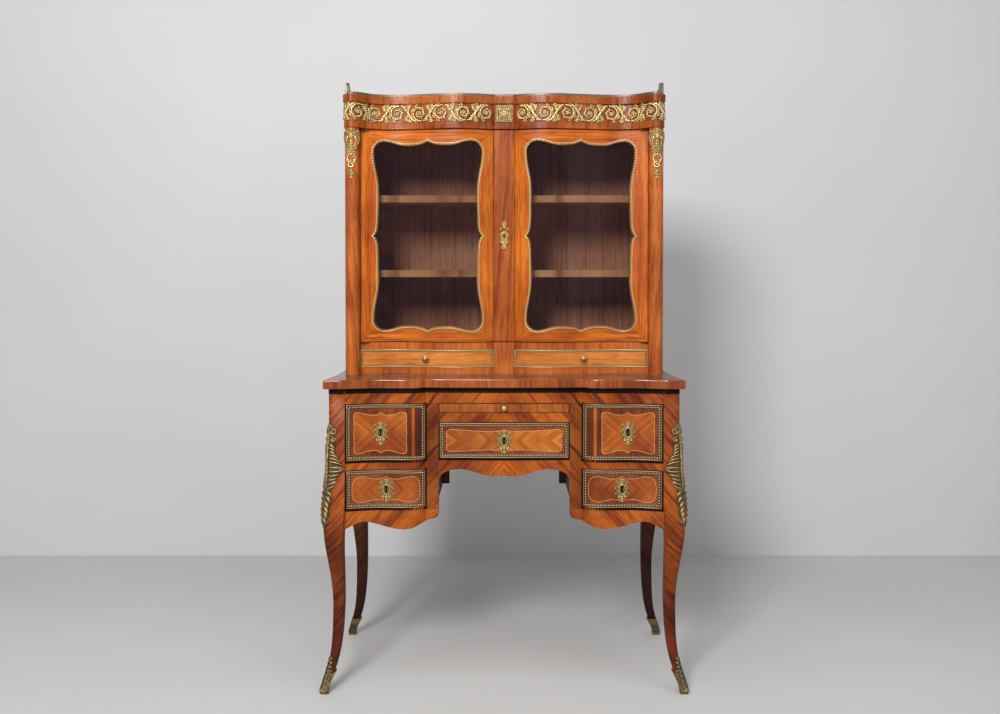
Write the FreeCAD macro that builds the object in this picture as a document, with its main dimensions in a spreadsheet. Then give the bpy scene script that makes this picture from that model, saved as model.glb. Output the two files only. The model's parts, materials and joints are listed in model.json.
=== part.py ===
"""Bonheur du jour: a serpentine writing desk with a glazed cabinet standing on it. Millimetres, +Z up."""
import FreeCAD, Part
import math
import os
import re
from FreeCAD import Placement, Rotation, Vector

document = FreeCAD.newDocument("bonheur_du_jour")

SIZES = {
    # desk top
    "desk_height": 760, "top_thickness": 22, "top_half_width": 437, "half_depth": 235,
    "top_side_hollow": 15, "top_overhang": 16,
    # serpentine front of the desk: places across, and depths behind the foremost line
    "cusp_across": 193, "cusp_depth": 41, "crest_across": 240, "crest_depth": 19,
    "hollow_inset": 111, "hollow_depth": 21.5, "shoulder_inset": 41, "shoulder_depth": 3,
    "middle_depth": 29, "swell_across": 110, "swell_depth": 33,
    # desk carcass
    "carcass_inset": 11, "back_leg_inset": 9, "front_thickness": 59, "stile_width": 40,
    "top_rail_height": 38, "kneehole_half": 161, "kneehole_stile": 29, "wall_setback": 11,
    "board": 12, "side_thickness": 35, "side_bulge": 17, "side_arch": 36, "side_sink": 2, "side_lap": 10,
    "leg_gap": 14, "leg_rounding": 0.3,
    # openings of the desk, from the top rail downwards
    "upper_drawer_height": 145, "pedestal_rail_height": 16.5, "lower_drawer_height": 100.5,
    "slide_height": 24.5, "slide_rail_height": 22.2, "centre_drawer_height": 94.8,
    # kneehole arch and pedestal aprons: how far their edge hangs below the drawers
    "arch_middle_drop": 37.5, "arch_flat": 35, "arch_crown_drop": 21.5, "arch_crown_across": 115,
    "arch_corner_drop": 39.5, "arch_corner_inset": 3, "arch_spring_drop": 58.5,
    "apron_corner_drop": 8, "apron_toe_across": 181, "apron_toe_drop": 25, "apron_low_across": 231,
    "apron_low_drop": 45, "apron_rise_inset": 91, "apron_rise_drop": 27,
    "back_arch_half": 153, "back_arch_height": 60, "back_arch_radius": 24,
    # drawers
    "front_gap": 0.8, "rest_gap": 0.3, "drawer_wall": 10, "drawer_bottom": 7, "drawer_side_gap": 2,
    "drawer_head_gap": 12, "drawer_rear_gap": 35, "trim_width": 8, "trim_proud": 2,
    "plate_half_width": 18, "plate_half_height": 27, "plate_proud": 3.2, "plate_shift": 14,
    "key_radius": 2.4, "key_slot": 9, "key_slot_width": 2.6,
    "lock_width": 46, "lock_height": 34, "lock_depth": 9,
    "slide_thickness": 20, "slide_knob_radius": 6.5, "slide_knob_reach": 14,
    # cabinet
    "cabinet_inset": 34.3, "cabinet_back_inset": 10, "cabinet_height": 708, "cabinet_board": 14,
    "cabinet_back_board": 10, "corner_width": 35.7, "corner_centre_at": 77, "corner_back_at": 40,
    "corner_mount_height": 129, "corner_mount_proud": 2.5, "corner_mount_foot": 6,
    # serpentine front of the cabinet: places across, and distances in front of the middle plane
    "meeting_half": 25.5, "meeting_at": 44, "meeting_proud": 6, "belly_across": 118, "belly_at": 70,
    "waist_across": 272, "waist_at": 40, "jamb_at": 60, "cabinet_inner_at": 20,
    "base_rail_height": 17, "small_drawer_height": 45, "drawer_rail_height": 18,
    "moulding_height": 17, "frieze_height": 47, "cornice_height": 20,
    "moulding_proud": 2.5, "cornice_proud": 5,
    "gallery_height": 32, "gallery_thickness": 9, "gallery_ear": 15, "gallery_back_height": 18,
    "lower_shelf_rise": 167, "upper_shelf_drop": 184, "shelf_thickness": 18, "shelf_front_at": 15,
    "small_drawer_rear_gap": 45, "small_wall": 8, "small_bottom": 5, "small_trim_width": 4.8, "partition": 20,
    # knobs of the small drawers; the shank and the head's half thickness as shares of radius and reach
    "knob_shift": 5.75, "knob_radius": 9, "knob_reach": 18, "shank_share": 0.4, "head_share": 0.3,
    # doors
    "door_thickness": 20, "door_gap": 1, "meeting_gap": 2, "glass_thickness": 3, "glass_setback": 8,
    "pane_inner_margin": 32.5, "pane_outer_margin": 34.2, "pane_high_margin": 31, "pane_low_margin": 32,
    "pane_waist": 11, "pane_dip": 11, "pane_corner": 24, "pane_trim": 6, "door_trim_proud": 2,
    "pivot_inset": 4.7, "pivot_at": 64.5, "pivot_radius": 2, "pivot_clearance": 0.06, "knuckle_radius": 4,
    "pivot_leaf": 1.4, "pivot_leaf_length": 16, "pivot_leaf_depth": 16, "pivot_gap": 0.3,
    "door_plate_half_width": 12.5, "door_plate_half_height": 38, "door_plate_shift": 2,
    # mounts on the legs
    "sabot_height": 73, "sabot_wall": 4, "knee_mount_wall": 4,
}

# leg stations from foot to top: height, how far out of the carcass corner, and width;
# the heights are those of a leg as tall as the last of them, and stretch with the desk
LEG_STATIONS = {
    "foot": (5, 19, 18), "toe": (33, 12, 20), "ankle": (81, -0.5, 22.5), "shin": (178, -8, 27),
    "calf": (227, -8, 28.5), "thigh": (300, 0, 35.5), "knee": (373, 11, 46), "hip": (470, 11, 52),
    "loin": (560, 4.5, 45.5), "stile_foot": (630, 0, 40), "stile_head": (738, 0, 40),
}
# knee mount stations on the same leg: height and width round the corner
KNEE_STATIONS = {
    "lip": (404, 18), "fold": (470, 30), "leaf": (535, 40), "stem": (600, 27), "scroll": (652, 17),
}

# places that follow from the sizes, each a sum of sizes and of places before it
PLACES = {
    "carcass_half": "top_half_width - carcass_inset",
    "hollow_across": "carcass_half - hollow_inset",
    "shoulder_across": "carcass_half - shoulder_inset",
    "side_inner": "carcass_half - side_thickness",
    "apron_rise_across": "carcass_half - apron_rise_inset",
    "leg_inner": "carcass_half - stile_width",
    "back_leg_inner": "leg_inner - back_leg_inset",
    "wall_inner": "kneehole_half + wall_setback",
    "wall_outer": "wall_inner + board",
    "stile_outer": "kneehole_half + kneehole_stile",
    "under_top": "desk_height - top_thickness",
    "top_rail_low": "under_top - top_rail_height",
    "upper_drawer_low": "top_rail_low - upper_drawer_height",
    "lower_drawer_high": "upper_drawer_low - pedestal_rail_height",
    "lower_drawer_low": "lower_drawer_high - lower_drawer_height",
    "slide_low": "top_rail_low - slide_height",
    "centre_drawer_high": "slide_low - slide_rail_height",
    "centre_drawer_low": "centre_drawer_high - centre_drawer_height",
    "arch_middle": "centre_drawer_low - arch_middle_drop",
    "arch_crown": "centre_drawer_low - arch_crown_drop",
    "arch_corner": "centre_drawer_low - arch_corner_drop",
    "arch_spring": "centre_drawer_low - arch_spring_drop",
    "apron_corner": "lower_drawer_low - apron_corner_drop",
    "apron_toe": "lower_drawer_low - apron_toe_drop",
    "apron_low": "lower_drawer_low - apron_low_drop",
    "apron_rise": "lower_drawer_low - apron_rise_drop",
    "back_arch_high": "apron_corner + back_arch_height",
    "carcass_depth": "half_depth - top_overhang",
    "front_rear": "carcass_depth - front_thickness",
    "desk_back_inner": "carcass_depth - leg_gap",
    "cabinet_half": "top_half_width - cabinet_inset",
    "cabinet_inner": "cabinet_half - cabinet_board",
    "corner_inner": "cabinet_half - corner_width",
    "pivot_across": "corner_inner - pivot_inset",
    "pane_inner": "meeting_half + pane_inner_margin",
    "pane_outer": "corner_inner - pane_outer_margin",
    "cabinet_back_at": "half_depth - cabinet_back_inset",
    "cabinet_back_inner": "cabinet_back_at - cabinet_back_board",
    "base_rail_high": "desk_height + base_rail_height",
    "small_drawer_high": "base_rail_high + small_drawer_height",
    "door_low": "small_drawer_high + drawer_rail_height",
    "cabinet_top": "desk_height + cabinet_height",
    "frieze_high": "cabinet_top - cornice_height",
    "moulding_high": "frieze_high - frieze_height",
    "door_high": "moulding_high - moulding_height",
    "pane_low": "door_low + pane_low_margin",
    "pane_high": "door_high - pane_high_margin",
    "lower_shelf_low": "door_low + lower_shelf_rise",
    "upper_shelf_low": "door_high - upper_shelf_drop",
}

for station, (height, out, width) in LEG_STATIONS.items():
    SIZES.update({f"{station}_height": height, f"{station}_out": out, f"{station}_width": width})
for station, (height, width) in KNEE_STATIONS.items():
    SIZES.update({f"{station}_height": height, f"{station}_width": width})

sheet = document.addObject("Spreadsheet::Sheet", "Sizes")
for row, (alias, amount) in enumerate(SIZES.items(), start=1):
    sheet.set(f"A{row}", alias)
    sheet.set(f"B{row}", str(amount))
    sheet.setAlias(f"B{row}", alias)
document.recompute()
size = {alias: float(sheet.get(alias)) for alias in SIZES}
spelled = {alias: f"Sizes.{alias}" for alias in SIZES}
for name, total in PLACES.items():
    signs = {"+": 1, "-": -1}
    words = ["+"] + total.split()
    size[name] = sum(signs[sign] * size[word] for sign, word in zip(words[::2], words[1::2]))
    spelled[name] = "(" + " ".join(spelled.get(word, word) for word in total.split()) + ")"
leg_stretch = size["under_top"] / size["stile_head_height"]
nodes = []


def bind(text):
    """Write the sheet's cells for each name in an expression."""
    return re.sub(r"[a-z_]+", lambda word: spelled[word.group(0)], text)


def node(item, label):
    """Keep an object as a sub-part under its own label."""
    item.Label = label
    nodes.append(item)
    return item


def place(item, **where):
    for axis, text in where.items():
        item.setExpression(f"Placement.Base.{axis}", bind(text))
    return item


def mirrored(side, near, far):
    """Span between two distances from the middle plane, on the left (-1) or the right (1)."""
    if side > 0:
        return near, far
    return f"-({far})", f"-({near})"


def block(name, across, along, up):
    """Box between two places on each axis."""
    item = document.addObject("Part::Box", name)
    for axis, length, (low, high) in zip("xyz", ("Length", "Width", "Height"), (across, along, up)):
        item.setExpression(length, bind(f"({high}) - ({low})"))
        place(item, **{axis: low})
    return item


def rod(name, radius, length, direction, **where):
    item = document.addObject("Part::Cylinder", name)
    item.setExpression("Radius", bind(radius))
    item.setExpression("Height", bind(length))
    item.Placement = Placement(Vector(), Rotation(Vector(0, 0, 1), direction))
    return place(item, **where)


def combine(kind, name, base, tool):
    """Part::Cut or Part::Common of two objects."""
    item = document.addObject(kind, name)
    item.Base = base
    item.Tool = tool
    return item


def fuse(name, items):
    item = document.addObject("Part::MultiFuse", name)
    item.Shapes = items
    return item


def group(name, items):
    """Separate solids kept in one sub-part."""
    item = document.addObject("Part::Compound", name)
    item.Links = items
    return item


def feature(name, shape):
    item = document.addObject("Part::Feature", name)
    item.Shape = shape
    return item


# ---- plan curves, as edges from left to right ----

# direction in which a door's front leaves the meeting stile
LEAVING_MEETING = Vector(1, -0.6, 0)


def spline(points, start=None, end=None):
    curve = Part.BSplineCurve()
    if start and end:
        curve.interpolate(Points=points, InitialTangent=start, FinalTangent=end)
    else:
        curve.interpolate(Points=points)
    return curve.toShape()


def flip(edges):
    """Mirror edges in the middle plane."""
    return [edge.mirror(Vector(), Vector(1, 0, 0)) for edge in edges]


def line(*corners):
    return [Part.makeLine(a, b) for a, b in zip(corners, corners[1:])]


def prism(edges, low, high):
    """Upright solid over a closed plan outline."""
    face = Part.Face(Part.Wire(Part.__sortEdges__(edges)))
    solid = face.extrude(Vector(0, 0, high - low))
    solid.translate(Vector(0, 0, low))
    return solid


def desk_curve(end_across, setback):
    """Serpentine front of the desk from corner to corner; setback moves it back."""
    def spot(name):
        across = size.get(f"{name}_across", 0)
        return Vector(across, size[f"{name}_depth"] + setback - size["half_depth"], 0)
    corner = Vector(end_across, setback - size["half_depth"], 0)
    outer = spline([spot("cusp"), spot("crest"), spot("hollow"), spot("shoulder"), corner],
                   Vector(0.5, -1, 0), Vector(1, 0, 0))
    inner = spline([spot("middle"), spot("swell"), spot("cusp")], Vector(1, 0, 0), Vector(1, 0.35, 0))
    return flip([outer, inner]) + [inner, outer]


def cabinet_curve(outer_across, proud):
    """Serpentine front of one door, right side, from the meeting stile outwards."""
    points = [Vector(size["meeting_half"], -size["meeting_at"] - proud, 0),
              Vector(size["belly_across"], -size["belly_at"] - proud, 0),
              Vector(size["waist_across"], -size["waist_at"] - proud, 0),
              Vector(outer_across, -size["jamb_at"] - proud, 0)]
    return spline(points, LEAVING_MEETING, Vector(1, -0.35, 0))


def ends(edge):
    """First and last point of an edge."""
    return edge.valueAt(edge.FirstParameter), edge.valueAt(edge.LastParameter)


def desk_stock(setback, depth_behind):
    """Region behind the desk's serpentine front: back to a flat plane, or a skin of even depth."""
    half = size["carcass_half"]
    edges = desk_curve(half, setback)
    front_y = setback - size["half_depth"]
    if depth_behind is None:
        back = -size["front_rear"]
        edges += line(Vector(-half, front_y, 0), Vector(-half, back, 0), Vector(half, back, 0),
                      Vector(half, front_y, 0))
    else:
        edges += desk_curve(half, setback + depth_behind)
        for side in (-half, half):
            edges += line(Vector(side, front_y, 0), Vector(side, front_y + depth_behind, 0))
    return prism(edges, 0, size["desk_height"])


def cabinet_stock(proud, depth_behind):
    """Region behind one door's serpentine front, on the right side."""
    front = cabinet_curve(size["corner_inner"], proud)
    inner, outer = ends(front)
    edges = [front]
    if depth_behind is None:
        back = -size["cabinet_inner_at"]
        edges += line(inner, Vector(inner.x, back, 0), Vector(outer.x, back, 0), outer)
    else:
        rear = cabinet_curve(size["corner_inner"], proud - depth_behind)
        edges += [rear] + line(inner, ends(rear)[0]) + line(outer, ends(rear)[1])
    return prism(edges, size["desk_height"], size["cabinet_top"])


def cabinet_outline(grow):
    """Closed plan of the cabinet with its rounded corners and projecting middle, grown by a moulding."""
    radius = (size["cabinet_half"] - size["corner_inner"]) / 2 + grow
    side = size["cabinet_half"] + grow
    centre = Vector(side - radius, -size["corner_centre_at"], 0)

    def round_corner(degrees):
        """Unit vector, turned from the front's direction towards the way forwards."""
        angle = math.radians(degrees)
        return Vector(math.cos(angle), -math.sin(angle), 0)
    shoulder = centre + round_corner(120) * radius
    corner = Part.Arc(Vector(side, centre.y, 0), centre + round_corner(45) * radius, shoulder)
    inner = Vector(size["meeting_half"], -size["meeting_at"] - grow, 0)
    front = spline([inner, Vector(size["belly_across"], -size["belly_at"] - grow, 0),
                    Vector(size["waist_across"], -size["waist_at"] - grow, 0),
                    Vector(size["corner_inner"] - radius, -size["jamb_at"] - grow, 0), shoulder],
                   LEAVING_MEETING, round_corner(30))
    step = Vector(inner.x, inner.y - size["meeting_proud"], 0)
    back = size["cabinet_back_at"]
    half = [corner.toShape(), front] + line(inner, step)
    half += line(Vector(side, centre.y, 0), Vector(side, back, 0))
    return half + flip(half) + line(step, Vector(-step.x, step.y, 0)) + line(
        Vector(side, back, 0), Vector(-side, back, 0))


# ---- desk: top, legs, carcass ----

def make_desk_top():
    half, depth = size["top_half_width"], size["half_depth"]
    hollow = half - size["top_side_hollow"]
    sides = []
    for side in (-1, 1):
        front, middle, rear = ((half, -depth), (hollow, 0), (half, depth))
        sides.append(Part.Arc(*[Vector(side * across, along, 0) for across, along in (front, middle, rear)]).toShape())
    edges = desk_curve(half, 0) + sides + line(Vector(-half, depth, 0), Vector(half, depth, 0))
    node(feature("desk_top", prism(edges, size["desk_height"] - size["top_thickness"], size["desk_height"])),
         "desk_top")


def leg_section(height, corner, inward, width, wall=0.0):
    """Square section with a rounded outer corner, seen from above, at one height."""
    outer = corner - inward * wall
    width = width + wall
    radius = size["leg_rounding"] * width
    along_x, along_y = Vector(inward.x, 0, 0), Vector(0, inward.y, 0)
    start, end = outer + along_x * radius, outer + along_y * radius
    middle = outer + (along_x + along_y) * radius * (1 - math.sqrt(0.5))
    far_x, far_y = outer + along_x * width, outer + along_y * width
    edges = line(far_x, start) + [Part.Arc(start, middle, end).toShape()]
    edges += line(end, far_y, outer + (along_x + along_y) * width, far_x)
    wire = Part.Wire(edges)
    wire.translate(Vector(0, 0, height))
    return wire


def leg_corner(side, front, out):
    """Outer corner of a leg that stands out of the carcass corner."""
    across = size["carcass_half"] + out - (0 if front else size["back_leg_inset"])
    along = size["carcass_depth"] + out
    return Vector(side * across, -along if front else along, 0)


def leg_height(name):
    """Height of a named station or level of the legs, which stretch with the desk."""
    return size[f"{name}_height"] * leg_stretch


def leg_loft(side, front, low, high, wall, width_of=None):
    """Loft of a leg, or of a skin round it, between two heights."""
    inward = Vector(-side, 1 if front else -1, 0)
    heights = [leg_height(name) for name in LEG_STATIONS]
    outs = [size[f"{name}_out"] for name in LEG_STATIONS]
    widths = [size[f"{name}_width"] for name in LEG_STATIONS]

    def at(height, amounts):
        for number in range(len(heights) - 1):
            if height <= heights[number + 1] or number == len(heights) - 2:
                share = (height - heights[number]) / (heights[number + 1] - heights[number])
                return amounts[number] + share * (amounts[number + 1] - amounts[number])

    def section(level):
        width = width_of(level) if width_of else at(level, widths)
        return leg_section(level, leg_corner(side, front, at(level, outs)), inward, width, wall)
    straight = min(leg_height("stile_foot"), high)
    levels = sorted({low, straight} | {height for height in heights if low < height < straight})
    loft = Part.makeLoft([section(level) for level in levels], True, False)
    if high > straight:
        loft = loft.fuse(Part.makeLoft([section(straight), section(high)], True, True))
    return loft


def carcass_room(front):
    """Space between the legs that the drawers, rails and panels fill."""
    low = size["lower_drawer_low"] - size["board"]
    height = size["desk_height"] - low
    inner = size["leg_inner"] if front else size["back_leg_inner"]
    along = size["carcass_depth"] - size["stile_width"]
    reach = 2 * size["half_depth"]
    wide = Part.makeBox(2 * inner, 2 * reach, height, Vector(-inner, -reach, low))
    deep = Part.makeBox(4 * inner, 2 * along, height, Vector(-2 * inner, -along, low))
    return wide.fuse(deep)


def make_legs():
    legs = {}
    for front, end in ((True, "front"), (False, "back")):
        for side, hand in ((-1, "left"), (1, "right")):
            name = f"{end}_{hand}_leg"
            loft = leg_loft(side, front, leg_height("foot"), size["under_top"], 0)
            shaped = loft.cut(carcass_room(front))
            legs[end, side] = node(feature(name, max(shaped.Solids, key=lambda solid: solid.Volume)), name)
    return legs


def make_sabots(legs):
    """Bronze shoes over the feet, closed below."""
    shoes = []
    for (end, side), leg in legs.items():
        front = end == "front"
        wall = size["sabot_wall"]
        inward = Vector(-side, 1 if front else -1, 0)
        sections = []
        for name, level in (("foot", 0), ("foot", leg_height("foot")), ("toe", leg_height("toe")),
                            ("ankle", leg_height("sabot"))):
            corner = leg_corner(side, front, size[f"{name}_out"])
            sections.append(leg_section(level, corner, inward, size[f"{name}_width"] + wall, wall))
        skin = Part.makeLoft(sections, True, False)
        shoes.append(feature(f"{end}_{side}_shoe", skin.cut(leg.Shape)))
    node(group("sabot_group", shoes), "sabots")


def make_knee_mounts(legs):
    """Bronze mounts that wrap the outer corners of the front legs."""
    stations = [(leg_height(name), size[f"{name}_width"]) for name in KNEE_STATIONS]

    def width_of(height):
        for (low, narrow), (high, wide) in zip(stations, stations[1:]):
            if height <= high:
                return narrow + (height - low) / (high - low) * (wide - narrow)
        return stations[-1][1]
    mounts = []
    for side in (-1, 1):
        skin = leg_loft(side, True, stations[0][0], stations[-1][0], size["knee_mount_wall"], width_of)
        mounts.append(feature(f"knee_mount_{side}", skin.cut(legs["front", side].Shape)))
    node(group("knee_mount_group", mounts), "knee_mounts")


def front_profile(points, start, end, high):
    """Solid over a curved lower edge seen from the front, from far in front to far behind."""
    curve = spline(points, start, end)
    first, last = points[0], points[-1]
    edges = [curve] + line(first, Vector(first.x, 0, high), Vector(last.x, 0, high), last)
    face = Part.Face(Part.Wire(Part.__sortEdges__(edges)))
    solid = face.extrude(Vector(0, 2 * size["half_depth"], 0))
    solid.translate(Vector(0, -size["half_depth"], 0))
    return solid


def make_front_frame(stock, legs):
    """Rails, stiles and aprons of the desk's front."""
    behind = ("-half_depth", "-front_rear")
    rail = block("top_rail_box", ("-leg_inner", "leg_inner"), behind, ("top_rail_low", "under_top"))
    node(combine("Part::Common", "top_rail", stock, rail), "front_top_rail")

    stiles = []
    rails = []
    for side in (-1, 1):
        box = block(f"stile_box_{side}", mirrored(side, "kneehole_half", "stile_outer"), behind,
                    ("lower_drawer_low", "top_rail_low"))
        stiles.append(combine("Part::Common", f"kneehole_stile_{side}", stock, box))
        box = block(f"rail_box_{side}", mirrored(side, "stile_outer", "leg_inner"), behind,
                    ("lower_drawer_high", "upper_drawer_low"))
        rails.append(combine("Part::Common", f"pedestal_rail_{side}", stock, box))
    node(group("stile_group", stiles), "kneehole_stiles")
    box = block("slide_rail_box", ("-kneehole_half", "kneehole_half"), behind,
                ("centre_drawer_high", "slide_low"))
    rails.append(combine("Part::Common", "slide_rail", stock, box))
    node(group("rail_group", rails), "drawer_rails")

    half = size["kneehole_half"]
    points = [Vector(0, 0, size["arch_middle"]), Vector(size["arch_flat"], 0, size["arch_middle"]),
              Vector(size["arch_crown_across"], 0, size["arch_crown"]),
              Vector(half - size["arch_corner_inset"], 0, size["arch_corner"]),
              Vector(half, 0, size["arch_spring"])]
    right = front_profile(points, Vector(1, 0, 0), Vector(0, 0, -1), size["centre_drawer_low"])
    arch = feature("arch_profile", right.fuse(right.mirror(Vector(), Vector(1, 0, 0))).removeSplitter())
    node(combine("Part::Common", "arch", stock, arch), "kneehole_apron")

    points = [Vector(half, 0, size["apron_corner"]),
              Vector(size["apron_toe_across"], 0, size["apron_toe"]),
              Vector(size["apron_low_across"], 0, size["apron_low"]),
              Vector(size["apron_rise_across"], 0, size["apron_rise"]),
              Vector(size["side_inner"], 0, size["apron_low"])]
    right = front_profile(points, Vector(0, 0, -1), Vector(1, 0, -0.5), size["lower_drawer_low"])
    aprons = []
    for side in (-1, 1):
        shape = right if side > 0 else right.mirror(Vector(), Vector(1, 0, 0))
        shaped = combine("Part::Common", f"apron_{side}", stock, feature(f"apron_profile_{side}", shape))
        aprons.append(combine("Part::Cut", f"apron_fitted_{side}", shaped, legs["front", side]))
    node(group("apron_group", aprons), "pedestal_aprons")


def make_desk_sides(legs):
    """Hollow side panels with an arched lower edge, between the legs."""
    panels = []
    for side in (-1, 1):
        front_x = size["carcass_half"] - size["side_sink"]
        back_x = front_x - size["back_leg_inset"]
        front_y = -(size["carcass_depth"] - size["stile_width"])
        reach = size["side_lap"]
        inner = size["side_inner"]
        middle_x = (front_x + back_x) / 2 - size["side_bulge"]
        hollow = Part.Arc(Vector(front_x, front_y - reach, 0), Vector(middle_x, 0, 0),
                          Vector(back_x, reach - front_y, 0)).toShape()
        edges = [hollow] + line(Vector(front_x, front_y - reach, 0), Vector(inner, front_y - reach, 0),
                                Vector(inner, reach - front_y, 0), Vector(back_x, reach - front_y, 0))
        if side < 0:
            edges = flip(edges)
        low = size["apron_low"]
        panel = prism(edges, low, size["under_top"])
        rise, half_span = size["side_arch"], -front_y
        radius = (half_span ** 2 + rise ** 2) / (2 * rise)
        arch = Part.makeCylinder(radius, 2 * size["top_half_width"],
                                 Vector(-size["top_half_width"], 0, low + rise - radius), Vector(1, 0, 0))
        shape = panel.cut(arch)
        for end in ("front", "back"):
            shape = shape.cut(legs[end, side].Shape)
        largest = max(shape.Solids, key=lambda solid: solid.Volume)
        panels.append(feature(f"side_panel_{side}", largest))
    node(group("side_group", panels), "desk_sides")


def back_arch(depth):
    """Opening in the lower edge of the back, behind the kneehole, with two rounded corners."""
    half = "back_arch_half - back_arch_radius"
    pieces = [block("back_arch_wide", ("-back_arch_half", "back_arch_half"), depth,
                    ("apron_corner", "back_arch_high - back_arch_radius")),
              block("back_arch_tall", (f"-({half})", half), depth, ("apron_corner", "back_arch_high"))]
    for side, centre in ((-1, f"-({half})"), (1, half)):
        pieces.append(rod(f"back_arch_corner_{side}", "back_arch_radius", "board", Vector(0, 1, 0),
                          x=centre, y="desk_back_inner", z="back_arch_high - back_arch_radius"))
    return fuse("back_arch", pieces)


def make_desk_boards():
    """Back, kneehole walls and the boards that carry the drawers."""
    depth = ("desk_back_inner", "desk_back_inner + board")
    panel = block("back_board", ("-back_leg_inner", "back_leg_inner"), depth, ("apron_corner", "under_top"))
    node(combine("Part::Cut", "back_panel", panel, back_arch(depth)), "desk_back")
    inside = ("-front_rear", "desk_back_inner")
    walls = []
    boards = []
    for side in (-1, 1):
        walls.append(block(f"wall_{side}", mirrored(side, "wall_inner", "wall_outer"), inside,
                           ("lower_drawer_low - board", "under_top")))
        for level in ("lower_drawer_low", "upper_drawer_low"):
            across = mirrored(side, "wall_outer", "back_leg_inner")
            boards.append(block(f"board_{side}_{level}", across, inside, (f"{level} - board", level)))
    for level in ("centre_drawer_low", "slide_low"):
        boards.append(block(f"board_{level}", ("-wall_inner", "wall_inner"), inside,
                            (f"{level} - board", level)))
    node(group("wall_group", walls), "kneehole_walls")
    node(group("board_group", boards), "dust_boards")


# ---- drawers ----

def keyhole(name, across, height, surface):
    """Round hole over a slot, through a front."""
    reach = f"{surface} + 2 * plate_proud"
    hole = rod(f"{name}_hole", "key_radius", reach, Vector(0, 1, 0), x=across, y=f"-({reach})", z=height)
    slot = block(f"{name}_slot", (f"{across} - key_slot_width / 2", f"{across} + key_slot_width / 2"),
                 (f"-({reach})", "0"), (f"{height} - key_slot", height))
    return fuse(f"{name}_keyhole", [hole, slot])


def plate(name, stock, across, height, half_width, half_height, hole):
    """Escutcheon: an upright ellipse cut from a thin skin, with its keyhole."""
    ellipse = document.addObject("Part::Ellipse", f"{name}_outline")
    ellipse.setExpression("MajorRadius", bind(half_height))
    ellipse.setExpression("MinorRadius", bind(half_width))
    ellipse.Placement = Placement(Vector(), Rotation(Vector(1, 1, 1), 240))
    place(ellipse, x=across, y="-2 * half_depth", z=height)
    solid = document.addObject("Part::Extrusion", f"{name}_solid")
    solid.Base = ellipse
    solid.DirMode = "Custom"
    solid.Dir = Vector(0, 1, 0)
    solid.setExpression("LengthFwd", bind("2 * half_depth"))
    solid.Solid = True
    skin = combine("Part::Common", f"{name}_skin", stock, solid)
    return combine("Part::Cut", f"{name}_plate", skin, hole)


def trim(name, stock, across, up, width):
    """Edge trim: a frame cut from a thin skin."""
    outer = block(f"{name}_trim_outer", across, ("-half_depth - plate_proud", "0"), up)
    inner = block(f"{name}_trim_inner", (f"{across[0]} + {width}", f"{across[1]} - {width}"),
                  ("-half_depth - plate_proud", "0"), (f"{up[0]} + {width}", f"{up[1]} - {width}"))
    ring = combine("Part::Cut", f"{name}_trim_ring", outer, inner)
    return combine("Part::Common", f"{name}_trim", stock, ring)


def tray(name, across, along, up, wall, bottom):
    """Drawer box behind a front: two sides, a back and a bottom."""
    start, end = along
    sides = [block(f"{name}_left", (across[0], f"{across[0]} + {wall}"), (start, end), up),
             block(f"{name}_right", (f"{across[1]} - {wall}", across[1]), (start, end), up),
             block(f"{name}_rear", (f"{across[0]} + {wall}", f"{across[1]} - {wall}"),
                   (f"{end} - {wall}", end), up),
             block(f"{name}_base", (f"{across[0]} + {wall}", f"{across[1]} - {wall}"),
                   (start, f"{end} - {wall}"), (up[0], f"{up[0]} + {bottom}"))]
    node(group(f"{name}_tray", sides), f"{name}_box")


def make_desk_drawer(name, across, up, plate_across, stocks):
    """Serpentine front, box, edge trim, escutcheon and lock case of one desk drawer."""
    low = (f"{across[0]} + front_gap", f"{up[0]} + front_gap")
    high = (f"{across[1]} - front_gap", f"{up[1]} - front_gap")
    middle = f"(({up[0]}) + ({up[1]})) / 2"
    hole = keyhole(name, plate_across, middle, "half_depth")
    panel = block(f"{name}_panel", (low[0], high[0]), ("-half_depth", "-front_rear"), (low[1], high[1]))
    board = combine("Part::Common", f"{name}_board", stocks["solid"], panel)
    node(combine("Part::Cut", f"{name}_bored", board, hole), f"{name}_front")
    tray(name, (f"{across[0]} + drawer_side_gap", f"{across[1]} - drawer_side_gap"),
         ("-front_rear", "desk_back_inner - drawer_rear_gap"),
         (f"{up[0]} + rest_gap", f"{up[1]} - drawer_head_gap"), "drawer_wall", "drawer_bottom")
    frame = trim(name, stocks["trim"], (low[0], high[0]), (low[1], high[1]), "trim_width")
    shield = plate(name, stocks["plate"], plate_across, middle, "plate_half_width", "plate_half_height", hole)
    case = block(f"{name}_lock", (f"{plate_across} - lock_width / 2", f"{plate_across} + lock_width / 2"),
                 ("-front_rear", "-front_rear + lock_depth"),
                 (f"{middle} - lock_height / 2", f"{middle} + lock_height / 2"))
    node(group(f"{name}_mount_group", [frame, shield, case]), f"{name}_mounts")


def knob(name, across, front, height, radius, reach, stock):
    """Turned knob on a short shank, fitted to the curved front."""
    head_at = f"-({front}) - {reach} * (1 - head_share)"
    shank = rod(f"{name}_shank", f"{radius} * shank_share", f"{reach} * 4 * head_share", Vector(0, 1, 0),
                x=across, y=f"{head_at} + {reach} * head_share / 3", z=height)
    head = document.addObject("Part::Ellipsoid", f"{name}_head")
    head.setExpression("Radius1", bind(f"{reach} * head_share"))
    head.setExpression("Radius2", bind(radius))
    head.setExpression("Radius3", bind(radius))
    head.Placement = Placement(Vector(), Rotation(Vector(0, 0, 1), Vector(0, 1, 0)))
    place(head, x=across, y=head_at, z=height)
    return combine("Part::Cut", f"{name}_turned", fuse(f"{name}_blank", [shank, head]), stock)


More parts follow.
